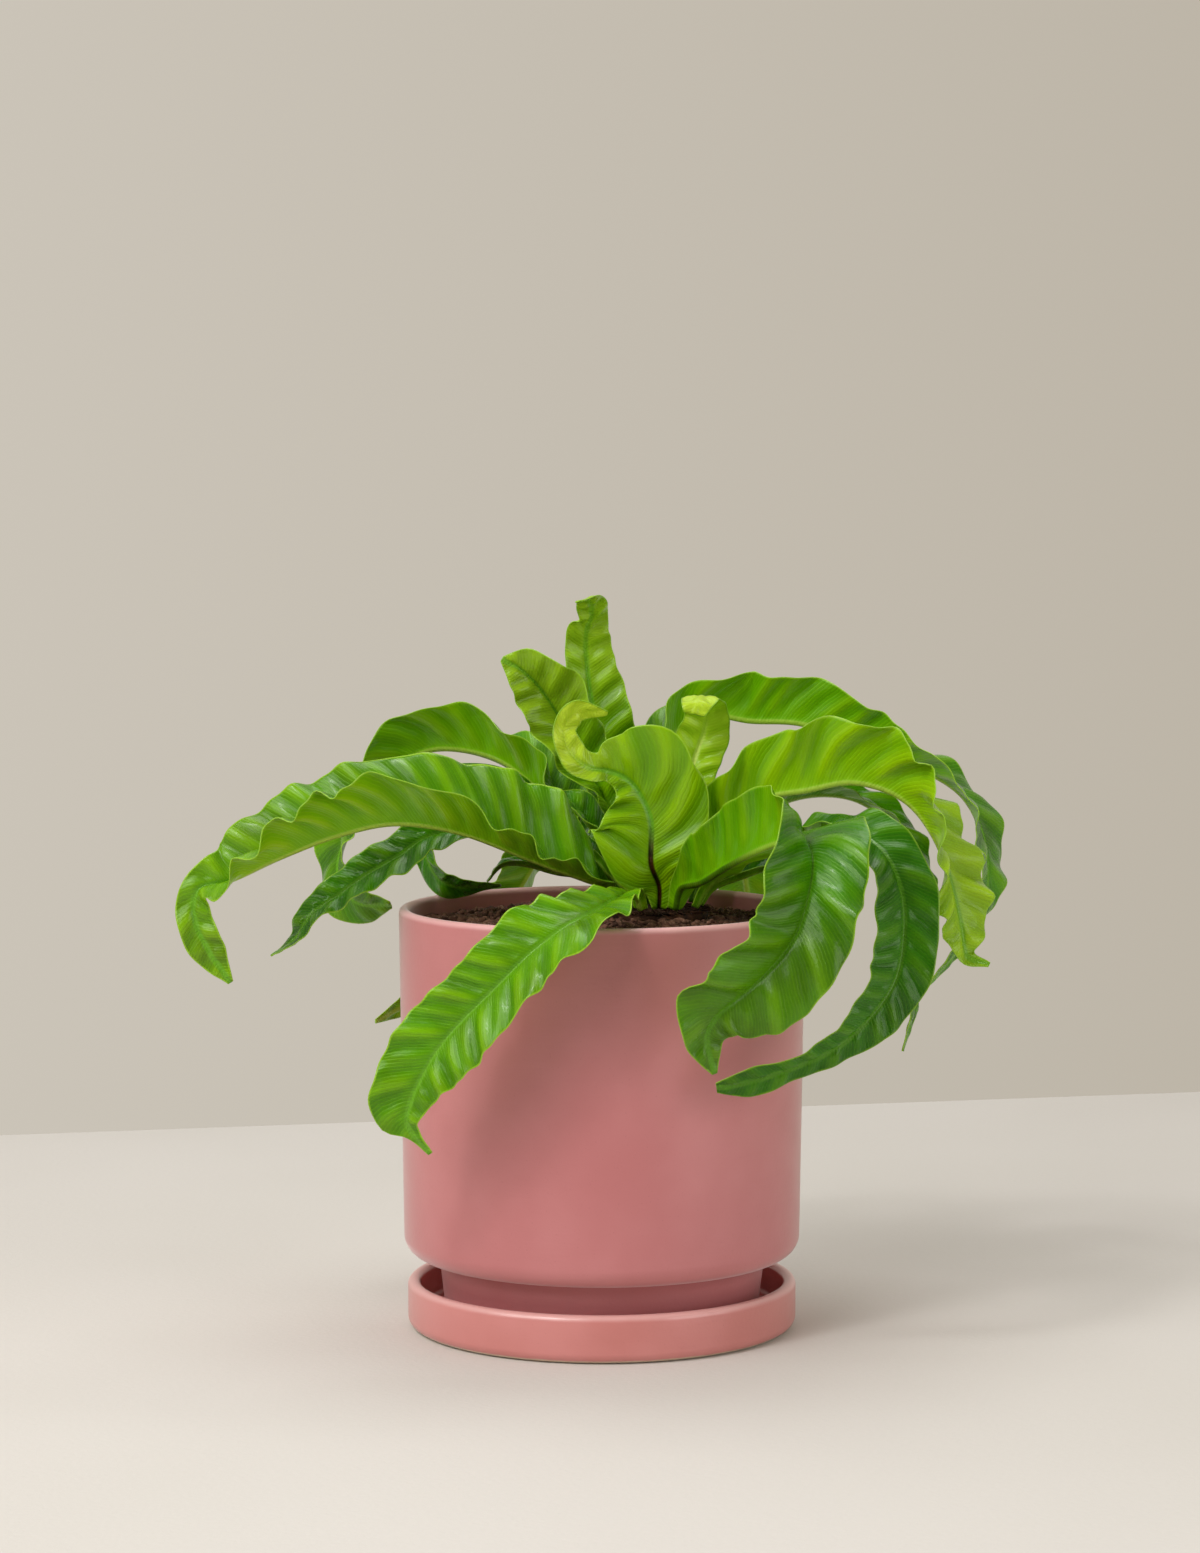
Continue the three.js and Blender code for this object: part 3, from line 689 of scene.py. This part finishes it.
def half_sheet(length, width, fold, edge, rng, wave_height, wave_length):
    """One half of a blade: its offsets to the side and up from the midrib, the distance from the
    midrib along the surface, and its pleats, from hollow to crest, a value the leaf faces use to
    paint shade in the hollows and highlight on the crests. edge is 1 for the left half and -1 for the
    right one."""
    total = length[-1]
    small = np.minimum(1, width / SMALL_WIDTH)[:, None]
    inner = RIB_OFFSETS[None, :] * small
    start = inner[:, -1:]
    outer = start + (width[:, None] - start) * OUTER_SHARES[None, :]
    u = np.hstack([inner, outer])
    q = u / width[:, None]
    rise = fold[:, None] * (FOLD_AT_RIB - FOLD_LOSS * q)
    du = np.diff(u, axis=1)
    middle = (rise[:, 1:] + rise[:, :-1]) / 2
    side = np.hstack([np.zeros((len(u), 1)), np.cumsum(np.cos(middle) * du, axis=1)])
    up = np.hstack([np.zeros((len(u), 1)), np.cumsum(np.sin(middle) * du, axis=1)])
    local = wave_length * (1 + WAVE_SPREAD * wander(rng, length, WAVE_KNOTS))
    turn = np.concatenate([[0], np.cumsum(np.diff(length) / local[1:])]) * 2 * math.pi
    lag = length[:, None] - PLEAT_LEAN * u
    phase = np.interp(lag, length, turn) + rng.uniform(0, 6.28) + np.minimum(lag, 0) / wave_length
    crest = np.sin(phase + 0.35 * np.sin(phase))
    tall = wave_height * (0.75 + HEIGHT_SPREAD * wander(rng, length, HEIGHT_KNOTS))
    tall = tall * np.minimum(1, width / FULL_WAVE_WIDTH)
    tall = tall * smooth(length, 8, 34) * smooth(total - length, 0, 22)
    lift = tall[:, None] * (q**1.4) * crest
    lift = lift + 0.2 * tall[:, None] * q**5 * np.sin(2.3 * phase + 1.3)
    fold_local = PLEAT_LENGTH * (1 + PLEAT_SPREAD * wander(rng, length, PLEAT_KNOTS))
    fold_turn = np.concatenate([[0], np.cumsum(np.diff(length) / fold_local[1:])]) * 2 * math.pi
    fine = np.sin(np.interp(lag, length, fold_turn) + rng.uniform(0, 6.28))
    inside = smooth(q, 0.06, 0.4) * (1 - 0.75 * smooth(q, 0.7, 1.0)) * small
    lift = lift + PLEAT_HEIGHT * fine * inside * smooth(length, 5, 25)[:, None]
    side = side * (1 + 0.02 * (q**2) * np.sin(1.7 * phase + 0.6))
    side = side - lift * np.sin(rise)
    up = up + lift * np.cos(rise)
    return edge * side, up, u, (0.55 * crest + 0.75 * fine) * smooth(q, 0.05, 0.4)


def frond_rows(name):
    """The frond's rows from its root to its tip, with heights from the ground."""
    _, root, points = FRONDS[name]
    first = points[0]
    seat = [CROWN["centre"][0] + root[0], CROWN["centre"][1] + root[1], CROWN_TOP + REST_GAP]
    rows = [[*seat, ROOT_HALF_WIDTH, ROOT_HALF_WIDTH, first[5], ROOT_FOLD]]
    rows += [[*placed(p[:2]), RIM_Z + p[2], *p[3:]] for p in points]
    return np.array(rows, float)


def midrib(rows):
    """Even stations along the midrib: the distance, the row and the direction at each."""
    end = len(rows) - 1
    dense = np.linspace(0, end, PATH_STEPS * end + 1)
    path = rows_at(rows, dense)[:, :3]
    reach = np.concatenate([[0], np.cumsum(np.linalg.norm(np.diff(path, axis=0), axis=1))])
    length = np.linspace(0, reach[-1], int(reach[-1] / STATION_STEP) + 1)
    t = np.interp(length, reach, dense)
    ahead = rows_at(rows, np.minimum(t + TANGENT_STEP, end))[:, :3]
    along = unit(ahead - rows_at(rows, np.maximum(t - TANGENT_STEP, 0))[:, :3])
    return length, rows_at(rows, t), along


def cross_axes(along, heading, roll):
    """The blade's side and up directions at each station; heading is in degrees, and so is roll."""
    turn = math.radians(heading)
    level = np.array([-math.sin(turn), math.cos(turn), 0.0])
    side = unit(level - along * (along @ level)[:, None])
    roll = np.radians(-roll)[:, None]
    side = side * np.cos(roll) + np.cross(along, side) * np.sin(roll)
    return side, np.cross(along, side)


def from_margin(half):
    """A half's columns from its margin inwards, without the midrib's own."""
    return half[:, :0:-1]


def skins_about(middle, up, signed, width, share):
    """The upper and lower faces of a blade about its middle surface, with groove and rib."""
    normal = unit(np.cross(np.gradient(middle, axis=1), np.gradient(middle, axis=0)))
    normal = np.where((normal * up[:, None]).sum(-1, keepdims=True) < 0, -normal, normal)
    far = np.abs(signed)
    q = far / width
    slim = np.minimum(1, width / 8)
    taper = 1 - 0.75 * share[:, None]
    half = HALF_THICKNESS + (MARGIN_HALF_THICKNESS - HALF_THICKNESS) * q**2
    groove = -GROOVE_DEPTH * np.exp(-((far / 0.7) ** 2)) + 0.25 * np.exp(-(((far - 1.7) / 0.8) ** 2))
    ridge = RIB_HEIGHT * np.exp(-((far / 1.05) ** 2)) * taper
    top = middle + normal * (half + groove * slim * taper)[..., None]
    bottom = middle - normal * (half + ridge * slim)[..., None]
    return top, bottom


def blade_faces(count, ring):
    """Faces of a closed blade with count stations of ring points, and the material of each: 0 above,
    1 below and 2 round the margin."""
    low = count * ring
    edge_a, edge_b = 2 * low, 2 * low + count
    faces, kinds = [], []
    for i in range(count - 1):
        a, b = i * ring, (i + 1) * ring
        for k in range(ring - 1):
            faces.append((a + k, b + k, b + k + 1, a + k + 1))
            faces.append((low + a + k + 1, low + b + k + 1, low + b + k, low + a + k))
            kinds += [0, 1]
        m, n = edge_a + i, edge_a + i + 1
        faces += [(m, n, b, a), (low + a, low + b, n, m)]
        m, n = edge_b + i, edge_b + i + 1
        far_a, far_b = a + ring - 1, b + ring - 1
        faces += [(far_a, far_b, n, m), (m, n, low + far_b, low + far_a)]
        kinds += [2] * 4
    for i in (0, count - 1):
        a = i * ring
        strip = [(a + k, a + k + 1, low + a + k + 1, low + a + k) for k in range(ring - 1)]
        strip.append((edge_a + i, a, low + a))
        strip.append((a + ring - 1, edge_b + i, low + a + ring - 1))
        if i:
            strip = [f[::-1] for f in strip]
        faces += strip
        kinds += [2] * len(strip)
    return faces, kinds


def store_layers(mesh, layers):
    """Vector attributes for the upper points, the lower points and the two margins."""
    for key, parts in layers.items():
        above = np.stack(parts, -1)
        below = above.copy()
        # The crest-to-hollow value paints highlight and shade, so it is turned over for the underside.
        if key == "mark":  # a crest above is a hollow below
            below[..., 0] *= -1
        flat = np.vstack([above.reshape(-1, 3), below.reshape(-1, 3), above[:, 0], above[:, -1]])
        layer = mesh.attributes.new(key, "FLOAT_VECTOR", "POINT")
        layer.data.foreach_set("vector", flat.astype(np.float32).ravel())


def build_frond(name, order):
    wave_height, wave_length, pale, dark, yellow, shade = FINISH[name]
    rng = np.random.default_rng(1000 + order)
    length, here, along = midrib(frond_rows(name))
    side, up = cross_axes(along, FRONDS[name][0], here[:, 5])
    fold = np.radians(here[:, 6])
    share = length / length[-1]
    left, right = (
        half_sheet(length, np.maximum(width, LEAST_WIDTH), fold, edge, rng, wave_height, wave_length)
        for edge, width in ((1, here[:, 3]), (-1, here[:, 4]))
    )
    offset = np.hstack([from_margin(left[0]), right[0]])
    lift = np.hstack([from_margin(left[1]), right[1]])
    signed = np.hstack([from_margin(left[2]), -right[2]])
    pleat_shading = np.hstack([from_margin(left[3]), right[3]])
    spine = here[:, :3]
    middle = spine[:, None] + side[:, None] * offset[..., None] + up[:, None] * lift[..., None]
    width = np.maximum(np.where(signed > 0, here[:, 3:4], here[:, 4:5]), LEAST_WIDTH)
    top, bottom = skins_about(middle, up, signed, width, share)
    margins = [
        middle[:, 0] + unit(middle[:, 0] - middle[:, 1]) * MARGIN_BULGE,
        middle[:, -1] + unit(middle[:, -1] - middle[:, -2]) * MARGIN_BULGE,
    ]
    verts = np.vstack([top.reshape(-1, 3), bottom.reshape(-1, 3), *margins])
    faces, kinds = blade_faces(*signed.shape)
    young = name == "young_curl"
    skins = (YOUNG_UPPER, YOUNG_UNDER, MARGIN) if young else (UPPER, UNDER, MARGIN)
    obj = new_object("frond_" + name + "_blade", verts * MM, faces, skins)
    obj.data.polygons.foreach_set("material_index", kinds)
    ones = np.ones_like(signed)
    layers = {
        "blade": (signed, length[:, None] * ones, (1 - np.abs(signed) / width) * width),
        "frond": (share[:, None] * ones, shade * ones, pale * ones),
        "mark": (pleat_shading, dark * ones, yellow * ones),
    }
    store_layers(obj.data, layers)
    attach(obj, "frond_" + name)


for order, name in enumerate(FRONDS):
    build_frond(name, order)

# ---------------------------------------------------------------- pottery


def glaze(name, body, warm, rim_color, rim_z, roughness, bare_below, glazed_above, **fixed):
    """A satin glaze with a paler line at the rim, partly thinner glaze and partly painted highlight, and
    bare clay at the foot.
    """
    g = Graph(name)
    place = g.place()
    z = g.node("ShaderNodeSeparateXYZ", {0: place}).outputs[2]
    cloudy = g.noise(place, 22, 3)
    color = g.mix(g.span(cloudy, 0.3, 0.7), body, warm)
    speck = g.span(g.noise(place, 1600, 2), 0.66, 0.74)
    color = g.mix(g.math("MULTIPLY", speck, 0.14), color, rgb("7d4240"))
    # Paler towards the rim top: the glaze thinning there, with a painted highlight along the rim.
    thin_glaze_and_rim_highlight = g.math("ADD", z, g.math("MULTIPLY", g.noise(place, 60, 2), 0.0008))
    color = g.mix(g.span(thin_glaze_and_rim_highlight, rim_z - 0.0022, rim_z - 0.0002, 0.0, 0.75), color, rim_color)
    stretched = g.node("ShaderNodeMapping", {0: place, 3: (1, 1, 9)}).outputs[0]
    rings = g.noise(stretched, 34, 3)
    normal = g.bump(rings, 0.00022, 0.5)
    normal = g.bump(g.noise(place, 700, 3), 0.00005, 1.0, normal)
    rough = g.math("ADD", g.math("MULTIPLY", g.noise(place, 90, 3), 0.12), roughness - 0.06)
    clay = g.mix(g.noise(place, 400, 3), rgb("dcc7ae"), rgb("c9ad90"))
    bare = g.math("ADD", z, g.math("MULTIPLY", g.noise(place, 150, 2), 0.0006))
    color = g.mix(g.span(bare, glazed_above, bare_below), color, clay)
    return g.finish(g.principled(color, rough, normal, **fixed))


SAUCER_GLAZE = glaze(
    "saucer_glaze", rgb("d08480"), rgb("c47670"), rgb("e4b0ac"), SAUCER["height"] * MM, 0.36,
    0.0012, 0.0017, Coat_Weight=0.45, Coat_Roughness=0.2,
)
PLANTER_GLAZE = glaze(
    "planter_glaze", rgb("c57b7c"), rgb("bd7172"), rgb("e6b0b0"), RIM_Z * MM, 0.5,
    PLANTER_Z * MM + 0.0005, PLANTER_Z * MM + 0.0009,
    Coat_Weight=0.15, Coat_Roughness=0.35, Sheen_Weight=0.6, Sheen_Roughness=0.35,
)
POT_SIDES = 160
POT_WOBBLE = 0.7
LONGEST_RUN = 6


def saucer_profile():
    s = SAUCER
    lip = s["wall"] / 2
    inner = s["radius"] - s["wall"]
    return refined(
        [
            (0, 0),
            (s["base"] - s["corner"] / 2 - 0.6, 0),
            *arc(s["radius"] - s["corner"], s["corner"], s["corner"], -70, 0, 8),
            *arc(s["radius"] - lip, s["height"] - lip, lip, 0, 180, 14),
            (inner, s["floor"] + lip),
            *arc(inner - lip, s["floor"] + lip, lip, 0, -90, 6)[1:],
            (0, s["floor"]),
        ],
        LONGEST_RUN,
    )


def planter_profile():
    p = PLANTER
    lip = p["wall"] / 2
    shoulder = PLANTER_Z + p["shoulder"]
    stand = p["foot"] - p["taper"]
    floor = PLANTER_Z + p["floor"]
    foot_inner = p["foot"] - p["wall"]
    body_inner = p["body"] - p["wall"]
    inner_corner = p["corner"] - lip
    return refined(
        [
            (p["drain"], PLANTER_Z + p["ring_depth"]),
            (stand - p["ring_width"] - p["ring_depth"], PLANTER_Z + p["ring_depth"]),
            (stand - p["ring_width"], PLANTER_Z),
            (stand - 0.5, PLANTER_Z),
            (stand, PLANTER_Z + 0.5),
            (p["foot"] - 0.1, shoulder - 0.8),
            (p["foot"] + 0.7, shoulder),
            *arc(p["body"] - p["corner"], shoulder + p["corner"], p["corner"], -85, 0, 12),
            *arc(p["rim"] - lip, RIM_Z - lip, lip, 0, 180, 14),
            (body_inner, shoulder + p["wall"] + inner_corner),
            (body_inner - inner_corner, shoulder + p["wall"]),
            (foot_inner, shoulder),
            (foot_inner - p["taper"], floor),
            (p["drain"], floor),
            (p["drain"], PLANTER_Z + p["ring_depth"]),
        ],
        LONGEST_RUN,
    )


verts, faces = turned(saucer_profile(), POT_SIDES, POT_WOBBLE)
attach(new_object("saucer_glazed", verts, faces, [SAUCER_GLAZE]), "saucer")
verts, faces = turned(planter_profile(), POT_SIDES, POT_WOBBLE)
attach(new_object("planter_glazed", verts, faces, [PLANTER_GLAZE]), "planter")

# ---------------------------------------------------------------- potting mix and crown


def bark_material(name, dark, mid, light, rough_bump):
    g = Graph(name)
    place = g.place()
    coarse = g.noise(place, 140, 4, 0.6)
    grain = g.noise(place, 620, 4, 0.65)
    color = g.mix(g.span(coarse, 0.32, 0.62), dark, mid)
    color = g.mix(g.math("MULTIPLY", g.span(grain, 0.5, 0.75), 0.7), color, light)
    normal = g.bump(grain, rough_bump)
    rough = g.span(coarse, 0.2, 0.8, 0.8, 0.98)
    return g.finish(g.principled(color, rough, normal, Specular_IOR_Level=0.25))


GRAINS = 1150
FLARE_AT_MIX = 0.93  # how much of the planter's flare there is at the mix's edge
MIX_SIDES = 150
MIX_RINGS = 60
CROWN_SIDES = 72
CROWN_SCALES = 420
SOCKET_OVERSHOOT = 3  # how far the cut for the crown rises past the crown's top

MIX = bark_material("potting_mix", rgb("3a2219"), rgb("74503f"), rgb("ab8370"), 0.0008)
SCALE = bark_material("crown_scales", rgb("1c100a"), rgb("43291a"), rgb("6f4a2c"), 0.0004)


def lump(centre, size, rng):
    """A small irregular grain of four five-sided rings, as verts and faces."""
    points = []
    for z, reach, turn in ((-0.8, 0.45, 0.3), (-0.25, 0.95, 0.0), (0.35, 0.9, 0.5), (0.85, 0.4, 0.2)):
        for k in range(5):
            a = (k + turn) * 2 * math.pi / 5
            far = reach * rng.uniform(0.75, 1.2)
            points.append((far * math.cos(a), far * math.sin(a), z * rng.uniform(0.8, 1.15)))
    stretch = np.array([rng.uniform(0.7, 1.5), rng.uniform(0.6, 1.0), rng.uniform(0.45, 0.9)]) * size
    tilt = Matrix.Rotation(rng.uniform(-0.6, 0.6), 3, "X") @ Matrix.Rotation(rng.uniform(0, 6.28), 3, "Z")
    points = (np.array(points) * stretch) @ np.array(tilt) + centre
    faces = [(4, 3, 2, 1, 0), (15, 16, 17, 18, 19)]
    for ring in range(3):
        for k in range(5):
            n = (k + 1) % 5
            a, b = ring * 5, ring * 5 + 5
            faces.append((a + k, a + n, b + n, b + k))
    return points, faces


def soil_height(radius, edge_radius):
    return SOIL_EDGE + SOIL["mound"] * (1 - (radius / edge_radius) ** 2)


def without(verts, faces, cut_verts, cut_faces):
    """One closed mesh less another, as verts and faces."""
    body = new_object("whole", verts, faces, [])
    cutter = new_object("cutter", cut_verts, cut_faces, [])
    modifier = body.modifiers.new("cut", "BOOLEAN")
    modifier.operation = "DIFFERENCE"
    modifier.solver = "EXACT"
    modifier.object = cutter
    mesh = bpy.data.meshes.new_from_object(body.evaluated_get(bpy.context.evaluated_depsgraph_get()))
    result = [tuple(v.co) for v in mesh.vertices], [tuple(f.vertices) for f in mesh.polygons]
    for obj in (body, cutter):
        bpy.data.objects.remove(obj)
    return result


def crown_socket():
    """The space that the crown takes in the mix, with its clearance."""
    low = crown_low[2] / MM - REST_GAP
    wide = CROWN["radius"] + REST_GAP
    top = CROWN_TOP + SOCKET_OVERSHOOT
    profile = [
        (0, low),
        (CROWN["bottom"] + REST_GAP, low),
        (wide, CROWN_TOP - CROWN["rise"]),
        (wide, top),
        (0, top),
    ]
    verts, faces = turned(profile, CROWN_SIDES)
    return verts + np.array([*CROWN["centre"], 0]) * MM, faces


def build_mix():
    p = PLANTER
    gap = SOIL["wall_gap"]
    edge = p["body"] - p["wall"] + (p["rim"] - p["body"]) * FLARE_AT_MIX - 2 * gap
    shoulder = PLANTER_Z + p["shoulder"]
    floor = PLANTER_Z + p["floor"]
    foot_inner = p["foot"] - p["wall"] - gap
    body_inner = p["body"] - p["wall"] - gap
    inner_corner = p["corner"] - p["wall"] / 2
    rings = [edge * (k / MIX_RINGS) ** 0.9 for k in range(MIX_RINGS, 0, -1)]
    profile = [
        (0, floor + gap),
        (foot_inner - p["taper"], floor + gap),
        (foot_inner, shoulder + gap),
        (body_inner - inner_corner, shoulder + p["wall"] + gap),
        (body_inner, shoulder + p["wall"] + inner_corner + gap),
        *[(r, soil_height(r, edge)) for r in rings],
        (0, SOIL_MIDDLE),
    ]
    verts, faces = turned(profile, MIX_SIDES)
    for v in verts:
        if v[2] > (SOIL_EDGE - 0.5) * MM:
            inward = min(1, (edge * MM - math.hypot(v[0], v[1])) / (4 * MM) + 0.15)
            rough = noise.fractal(Vector(v) * 260, 1.0, 2.1, 4)
            v[2] += rough * 0.0011 * inward - 0.0006
    verts, faces = without(verts, faces, *crown_socket())
    rng = np.random.default_rng(7)
    for _ in range(GRAINS):
        far = (edge - 3.2) * math.sqrt(rng.uniform(0, 1))
        turn = rng.uniform(0, 2 * math.pi)
        x, y = far * math.cos(turn), far * math.sin(turn)
        if math.hypot(x - CROWN["centre"][0], y - CROWN["centre"][1]) < CROWN["radius"] + 1.5:
            continue
        size = 0.8 + 1.7 * rng.uniform(0, 1) ** 2.2
        centre = (x, y, soil_height(far, edge) - 0.3 + 0.15 * size)
        points, quads = lump(centre, size, rng)
        start = len(verts)
        verts += [tuple(q * MM) for q in points]
        faces += [tuple(start + i for i in f) for f in quads]
    attach(new_object("potting_mix_grains", verts, faces, [MIX]), "potting_mix")


def build_crown():
    """A short rootstock wrapped in papery brown scales, open on top where the fronds stand."""
    centre = np.array([*CROWN["centre"], 0.0])
    low = crown_low[2] / MM
    radius = CROWN["radius"]
    profile = [
        (0, low),
        (CROWN["bottom"], low),
        (radius - 0.6, CROWN_TOP - 3.2),
        (radius - 0.6, CROWN_TOP - 1.6),
        (radius - 3, CROWN_TOP - 0.6),
        (0, CROWN_TOP - 0.5),
    ]
    verts, faces = turned(refined(profile, 2.5), CROWN_SIDES)
    verts = verts / MM + centre
    for v in verts:
        if v[2] > CROWN_TOP - 3:
            v[2] += 0.35 * noise.noise(Vector(v) * 0.45) - 0.2
    verts, faces = [tuple(v * MM) for v in verts], list(faces)
    rng = np.random.default_rng(11)
    for _ in range(CROWN_SCALES):
        turn = rng.uniform(0, 2 * math.pi)
        far = radius * math.sqrt(rng.uniform(0.05, 0.97))
        base = centre + [far * math.cos(turn), far * math.sin(turn), CROWN_TOP - 0.9]
        out = np.array([math.cos(turn), math.sin(turn), 0.0])
        out = unit(out + rng.uniform(-0.7, 0.7, 3) * [1, 1, 0])
        wide = np.cross([0, 0, 1], out) * rng.uniform(0.5, 0.9)
        long = rng.uniform(2.2, 4.2)
        long = min(long, max(0.8, radius + 0.6 - far))
        tip = base + out * long + [0, 0, rng.uniform(-0.5, 0.5)]
        mid = base + out * long * 0.45 + [0, 0, 0.5]
        thick = np.array([0, 0, 0.12])
        start = len(verts)
        loop = [base - wide * 0.6, base + wide * 0.6, mid + wide, tip, mid - wide]
        verts += [tuple((q + thick) * MM) for q in loop] + [tuple((q - thick) * MM) for q in loop]
        faces += [tuple(start + i for i in range(5)), tuple(start + 9 - i for i in range(5))]
        faces += [
            (start + i, start + 5 + i, start + 5 + (i + 1) % 5, start + (i + 1) % 5) for i in range(5)
        ]
    attach(new_object("crown_scaly", verts, faces, [SCALE]), "crown")


build_mix()
build_crown()

# ---------------------------------------------------------------- floor, light and camera


def floor_material():
    g = Graph("studio_floor")
    place = g.place()
    color = g.mix(g.span(g.noise(place, 3, 2), 0.3, 0.7), rgb("d6d2cd"), rgb("d1cdc7"))
    color = g.mix(g.math("MULTIPLY", g.noise(place, 500, 3), 0.12), color, rgb("bdb6aa"))
    normal = g.bump(g.noise(place, 420, 3), 0.0003, 0.6)
    return g.finish(g.principled(color, 0.75, normal, Specular_IOR_Level=0.2))


FLOOR_TURN = math.radians(12.6)
FLOOR_EDGE = 0.48  # how far behind the plant the floor meets the backdrop
FLOOR_HALF_WIDTH = 1.7
FLOOR_DEPTH = 2.1
FLOOR_HEIGHTS = (-0.012, -0.0001)  # its underside and its top, just clear of the saucer
floor_verts = [
    (x, y, z)
    for z in FLOOR_HEIGHTS
    for y in (-FLOOR_DEPTH, 0.0)
    for x in (-FLOOR_HALF_WIDTH, FLOOR_HALF_WIDTH)
]
floor_faces = [(0, 2, 3, 1), (4, 5, 7, 6), (0, 1, 5, 4), (2, 6, 7, 3), (0, 4, 6, 2), (1, 3, 7, 5)]
floor = new_object("studio_floor", floor_verts, floor_faces, [floor_material()], smooth=False)
floor.rotation_euler = (0, 0, FLOOR_TURN)
floor.location = (0, FLOOR_EDGE, 0)

world = bpy.data.worlds.new("studio")
world.use_nodes = True
tree = world.node_tree
tree.nodes.clear()


def blend(factor, a, b):
    node = tree.nodes.new("ShaderNodeMix")
    node.data_type = "RGBA"
    tree.links.new(factor, node.inputs[0])
    for socket, value in ((6, a), (7, b)):
        if isinstance(value, tuple):
            node.inputs[socket].default_value = value
        else:
            tree.links.new(value, node.inputs[socket])
    return node.outputs[2]


def ramp(value, low, high):
    node = tree.nodes.new("ShaderNodeMapRange")
    tree.links.new(value, node.inputs["Value"])
    node.inputs["From Min"].default_value = low
    node.inputs["From Max"].default_value = high
    return node.outputs["Result"]


towards = tree.nodes.new("ShaderNodeTexCoord").outputs["Generated"]
split = tree.nodes.new("ShaderNodeSeparateXYZ")
tree.links.new(towards, split.inputs[0])
# What the camera sees of the backdrop is lighter to the left and darker to the right: painted shade.
wall = blend(ramp(split.outputs[0], -0.16, 0.2), rgb("cbc4b8"), rgb("bbb3a5"))
room = blend(ramp(split.outputs[1], -0.6, 0.8), rgb("7c7872"), rgb("cbc4b8"))
seen = tree.nodes.new("ShaderNodeLightPath").outputs["Is Camera Ray"]
backdrop = tree.nodes.new("ShaderNodeBackground")
tree.links.new(blend(seen, room, wall), backdrop.inputs["Color"])
world_output = tree.nodes.new("ShaderNodeOutputWorld")
tree.links.new(backdrop.outputs[0], world_output.inputs[0])
bpy.context.scene.world = world


def softbox(name, place, aim, size, power, color):
    data = bpy.data.lights.new(name, "AREA")
    data.shape = "RECTANGLE"
    data.size, data.size_y = size
    data.energy = power
    data.color = color
    lamp = bpy.data.objects.new(name, data)
    lamp.location = place
    lamp.rotation_euler = (Vector(aim) - Vector(place)).to_track_quat("-Z", "Y").to_euler()
    bpy.context.scene.collection.objects.link(lamp)


softbox("key", (-1.15, -1.1, 1.35), (0, 0, 0.12), (1.5, 1.5), 29, (1.0, 0.99, 0.97))
softbox("glint", (-0.75, -0.95, 1.5), (0, 0, 0.15), (0.22, 0.22), 5, (1.0, 1.0, 1.0))
softbox("fill", (1.5, -1.0, 0.55), (0, 0, 0.1), (1.3, 1.0), 10, (1.0, 0.99, 0.97))
softbox("top", (0.1, 0.35, 1.6), (0, 0, 0.15), (0.9, 0.9), 8, (1.0, 1.0, 1.0))

LENS = 90.2
SENSOR_WIDTH = 36
CAMERA_PLACE = (-0.0007, -1.430, 0.312)
CAMERA_PITCH = 4.33  # degrees below level

camera_data = bpy.data.cameras.new("camera")
camera_data.lens = LENS
camera_data.sensor_width = SENSOR_WIDTH
camera = bpy.data.objects.new("camera", camera_data)
camera.location = CAMERA_PLACE
camera.rotation_euler = (math.radians(90 - CAMERA_PITCH), 0, 0)
bpy.context.scene.collection.objects.link(camera)
bpy.context.scene.camera = camera
bpy.context.scene.view_settings.view_transform = "Standard"
